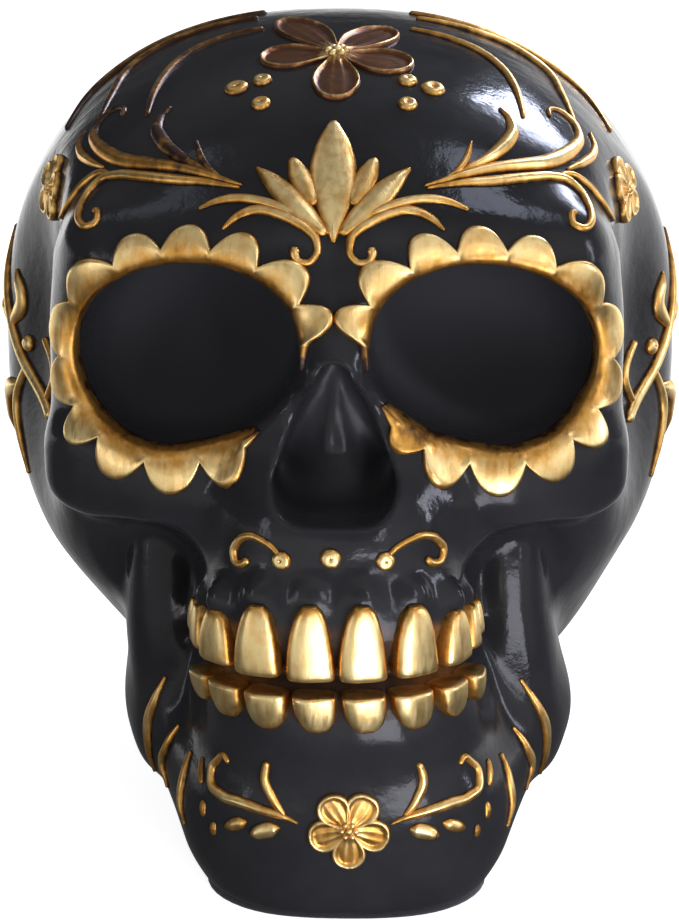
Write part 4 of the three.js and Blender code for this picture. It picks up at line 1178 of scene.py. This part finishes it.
# Jaw stripes: three slim upright bands on each side of the lower jaw, set one behind the other.
# They are moulded strokes with pointed ends, gilded like the rest.
stripes = [
    ("side", [(-0.268, 0.18), (-0.279, 0.145), (-0.284, 0.118), (-0.3, 0.096)]),
    ("side", [(-0.221, 0.194), (-0.218, 0.165), (-0.212, 0.138), (-0.226, 0.112)]),
    ("front", [(0.506, 0.249), (0.542, 0.22), (0.571, 0.184), (0.572, 0.15), (0.556, 0.112)]),
]
for number, (view, places) in enumerate(stripes, start=1):
    gild_pair(f"jaw_band_{number}", [stroke(view, places, (0.7, 1.6, 1.9, 1.6, 0.6))], f"jaw_stripe_{number}")


# Stage: a pale studio floor under soft boxes. The lens sees a white room. What shines sees a room that is
# white behind the object, dim beside it and softly lit in front, with a dark place where the lens stands.
def studio():
    world = bpy.data.worlds.new("studio_room")
    world.use_nodes = True
    tree = world.node_tree
    tree.nodes.clear()
    direction = add_node(tree, "TexCoord").outputs["Generated"]
    parts = add_node(tree, "SeparateXYZ", {"Vector": direction})
    tilted_height = add_node(tree, "VectorMath", {0: direction, 1: (-0.35, 0, 1)}, operation="DOT_PRODUCT")
    facing = add_node(tree, "VectorMath", {0: direction, 1: (0.3, -0.95, 0)}, operation="DOT_PRODUCT")
    to_lens = add_node(tree, "VectorMath", {0: direction, 1: (0, -0.97, 0.24)}, operation="DOT_PRODUCT")
    zones = {}
    for zone, value, start, end, first, last in (
        ("behind", parts.outputs["Y"], 0.1, 0.6, 0, 1),
        ("low_down", tilted_height.outputs["Value"], -0.12, 0.2, 1, 0),
        ("front", facing.outputs["Value"], 0.2, 0.9, 0.05, 0.85),
        ("lens_shade", to_lens.outputs["Value"], 0.82, 0.97, 1, 0.3),
        ("above", parts.outputs["Z"], 0.35, 0.75, 0, 0.2),
    ):
        fade = add_node(
            tree, "MapRange",
            {"Value": value, "From Min": start, "From Max": end, "To Min": first, "To Max": last},
            interpolation_type="SMOOTHSTEP",
        )
        zones[zone] = fade.outputs["Result"]
    backdrop = add_node(tree, "Math", {0: zones["behind"], 1: zones["low_down"]}, operation="MULTIPLY")
    room = add_node(tree, "Math", {0: zones["front"], 1: zones["lens_shade"]}, operation="MULTIPLY")
    ceiling = add_node(tree, "Math", {0: room.outputs[0], 1: zones["above"]}, operation="ADD")
    sweep = add_node(
        tree, "Math", {0: backdrop.outputs[0], 1: 1.25, 2: ceiling.outputs[0]}, operation="MULTIPLY_ADD",
    )
    path = add_node(tree, "LightPath")
    seen = add_node(
        tree, "Math",
        {0: path.outputs["Is Camera Ray"], 1: path.outputs["Is Transmission Ray"]},
        operation="MAXIMUM",
    )
    glossy = path.outputs["Is Glossy Ray"]
    reflected = add_node(tree, "Math", {0: glossy, 1: sweep.outputs[0]}, operation="MULTIPLY")
    not_glossy = add_node(tree, "Math", {0: 1.0, 1: glossy}, operation="SUBTRACT")
    soft = add_node(
        tree, "Math", {0: not_glossy.outputs[0], 1: 0.35, 2: reflected.outputs[0]}, operation="MULTIPLY_ADD",
    )
    strength = add_node(tree, "Math", {0: seen.outputs[0], 1: soft.outputs[0]}, operation="MAXIMUM")
    light = add_node(tree, "Background", {"Color": colour("#ffffff"), "Strength": strength.outputs[0]})
    add_node(tree, "OutputWorld", {"Surface": light.outputs[0]})
    bpy.context.scene.world = world


# Matt pale paper, which takes the shadow of the object and shows white to the lens. In the gloss it shows as
# a painted reflection: a glow, dim near the object and brighter behind it and in front.
def pale_floor():
    material, tree = new_material("pale_studio_floor")
    path = add_node(tree, "LightPath")
    place = add_node(tree, "TexCoord").outputs["Object"]
    back = add_node(tree, "SeparateXYZ", {"Vector": place}).outputs["Y"]
    behind = add_node(
        tree, "MapRange", {"Value": back, "From Min": 0, "From Max": 0.3, "To Min": 0.1, "To Max": 1.6},
        interpolation_type="SMOOTHSTEP",
    )
    before = add_node(
        tree, "MapRange", {"Value": back, "From Min": -0.08, "From Max": -0.26, "To Min": 0, "To Max": 0.8},
        interpolation_type="SMOOTHSTEP",
    )
    fade = add_node(tree, "Math", {0: behind.outputs["Result"], 1: before.outputs["Result"]}, operation="ADD")
    paper = add_node(tree, "BsdfDiffuse", {"Color": colour("#f4f4f4"), "Roughness": 0.5})
    glow = add_node(tree, "Emission", {"Color": colour("#ffffff"), "Strength": 0.82})
    lifted = add_node(tree, "AddShader", {0: paper.outputs[0], 1: glow.outputs[0]})
    seen, glossy = path.outputs["Is Camera Ray"], path.outputs["Is Glossy Ray"]
    shown = add_node(tree, "MixShader", {0: seen, 1: paper.outputs[0], 2: lifted.outputs[0]})
    # Painted reflection: glossy surfaces see the floor as a glow, dim near the object and brighter behind it
    # and in front.
    reflected_glow = add_node(tree, "Emission", {"Color": colour("#ffffff"), "Strength": fade.outputs[0]})
    both = add_node(tree, "MixShader", {0: glossy, 1: shown.outputs[0], 2: reflected_glow.outputs[0]})
    finish_material(tree, both)
    return material


studio()
floor_size = 3000
floor_corners = [(floor_size * x, floor_size * y, 0) for x, y in ((-1, -1), (1, -1), (1, 1), (-1, 1))]
floor = object_from("studio_floor", floor_corners, [(0, 1, 2, 3)])
floor.data.materials.append(pale_floor())
target = Vector((0, -10 * MM, 70 * MM))


def towards(azimuth, elevation):
    """A direction by its angle round from the face and its height."""
    a, e = math.radians(azimuth), math.radians(elevation)
    return Vector((math.sin(a) * math.cos(e), -math.cos(a) * math.cos(e), math.sin(e)))


def softbox(name, azimuth, elevation, distance, width, height, brightness, tint):
    """A rectangular soft light aimed at the skull. Brightness is its radiance, and 1 shows as white."""
    light = bpy.data.lights.new(name, "AREA")
    light.shape = "RECTANGLE"
    light.size, light.size_y = width * MM, height * MM
    light.energy = brightness * math.pi * width * height * MM * MM
    light.color = colour(tint)[:3]
    made = bpy.data.objects.new(name, light)
    away = towards(azimuth, elevation)
    stand = Matrix.Translation(target + away * distance * MM)
    made.matrix_world = stand @ away.to_track_quat("Z", "Y").to_matrix().to_4x4()
    bpy.context.scene.collection.objects.link(made)


softbox("back_right_box", 147, 35, 700, 220, 180, 26, "#dfe6ff")
softbox("overhead_box", 93, 66, 700, 200, 110, 8, "#dfe6ff")
softbox("right_side_box", 80, 15, 700, 80, 300, 16, "#eceeff")
softbox("front_right_box", 27, 5, 800, 80, 380, 8.5, "#f2f3ff")
softbox("low_front_card", 17, -20, 160, 56, 44, 11, "#f2f3ff")
softbox("front_left_box", -50, 2, 800, 80, 340, 5.5, "#f2f3ff")
softbox("top_left_box", -92, 62, 700, 160, 110, 2, "#dfe6ff")

# Camera: 0.62 m away and 18 degrees above the object, very nearly straight in front of its face.
# The lens length gives the size that the object has in the photograph.
camera_azimuth, camera_elevation, camera_distance = 1, 18, 620
lens_length, sensor_height = 137.2, 36
aim = Vector((0.25 * MM, -10 * MM, 68.8 * MM))
camera_data = bpy.data.cameras.new("camera")
camera_data.sensor_fit = "VERTICAL"
camera_data.sensor_height = sensor_height
camera_data.lens = lens_length
camera_data.clip_start = 10 * MM
camera = bpy.data.objects.new("camera", camera_data)
bpy.context.scene.collection.objects.link(camera)
back = towards(camera_azimuth, camera_elevation)
right = Vector((0, 0, 1)).cross(back).normalized()
pose = Matrix((right, back.cross(right), back)).transposed().to_4x4()
camera.matrix_world = Matrix.Translation(aim + back * camera_distance * MM) @ pose
bpy.context.scene.camera = camera
bpy.context.scene.view_settings.view_transform = "Standard"
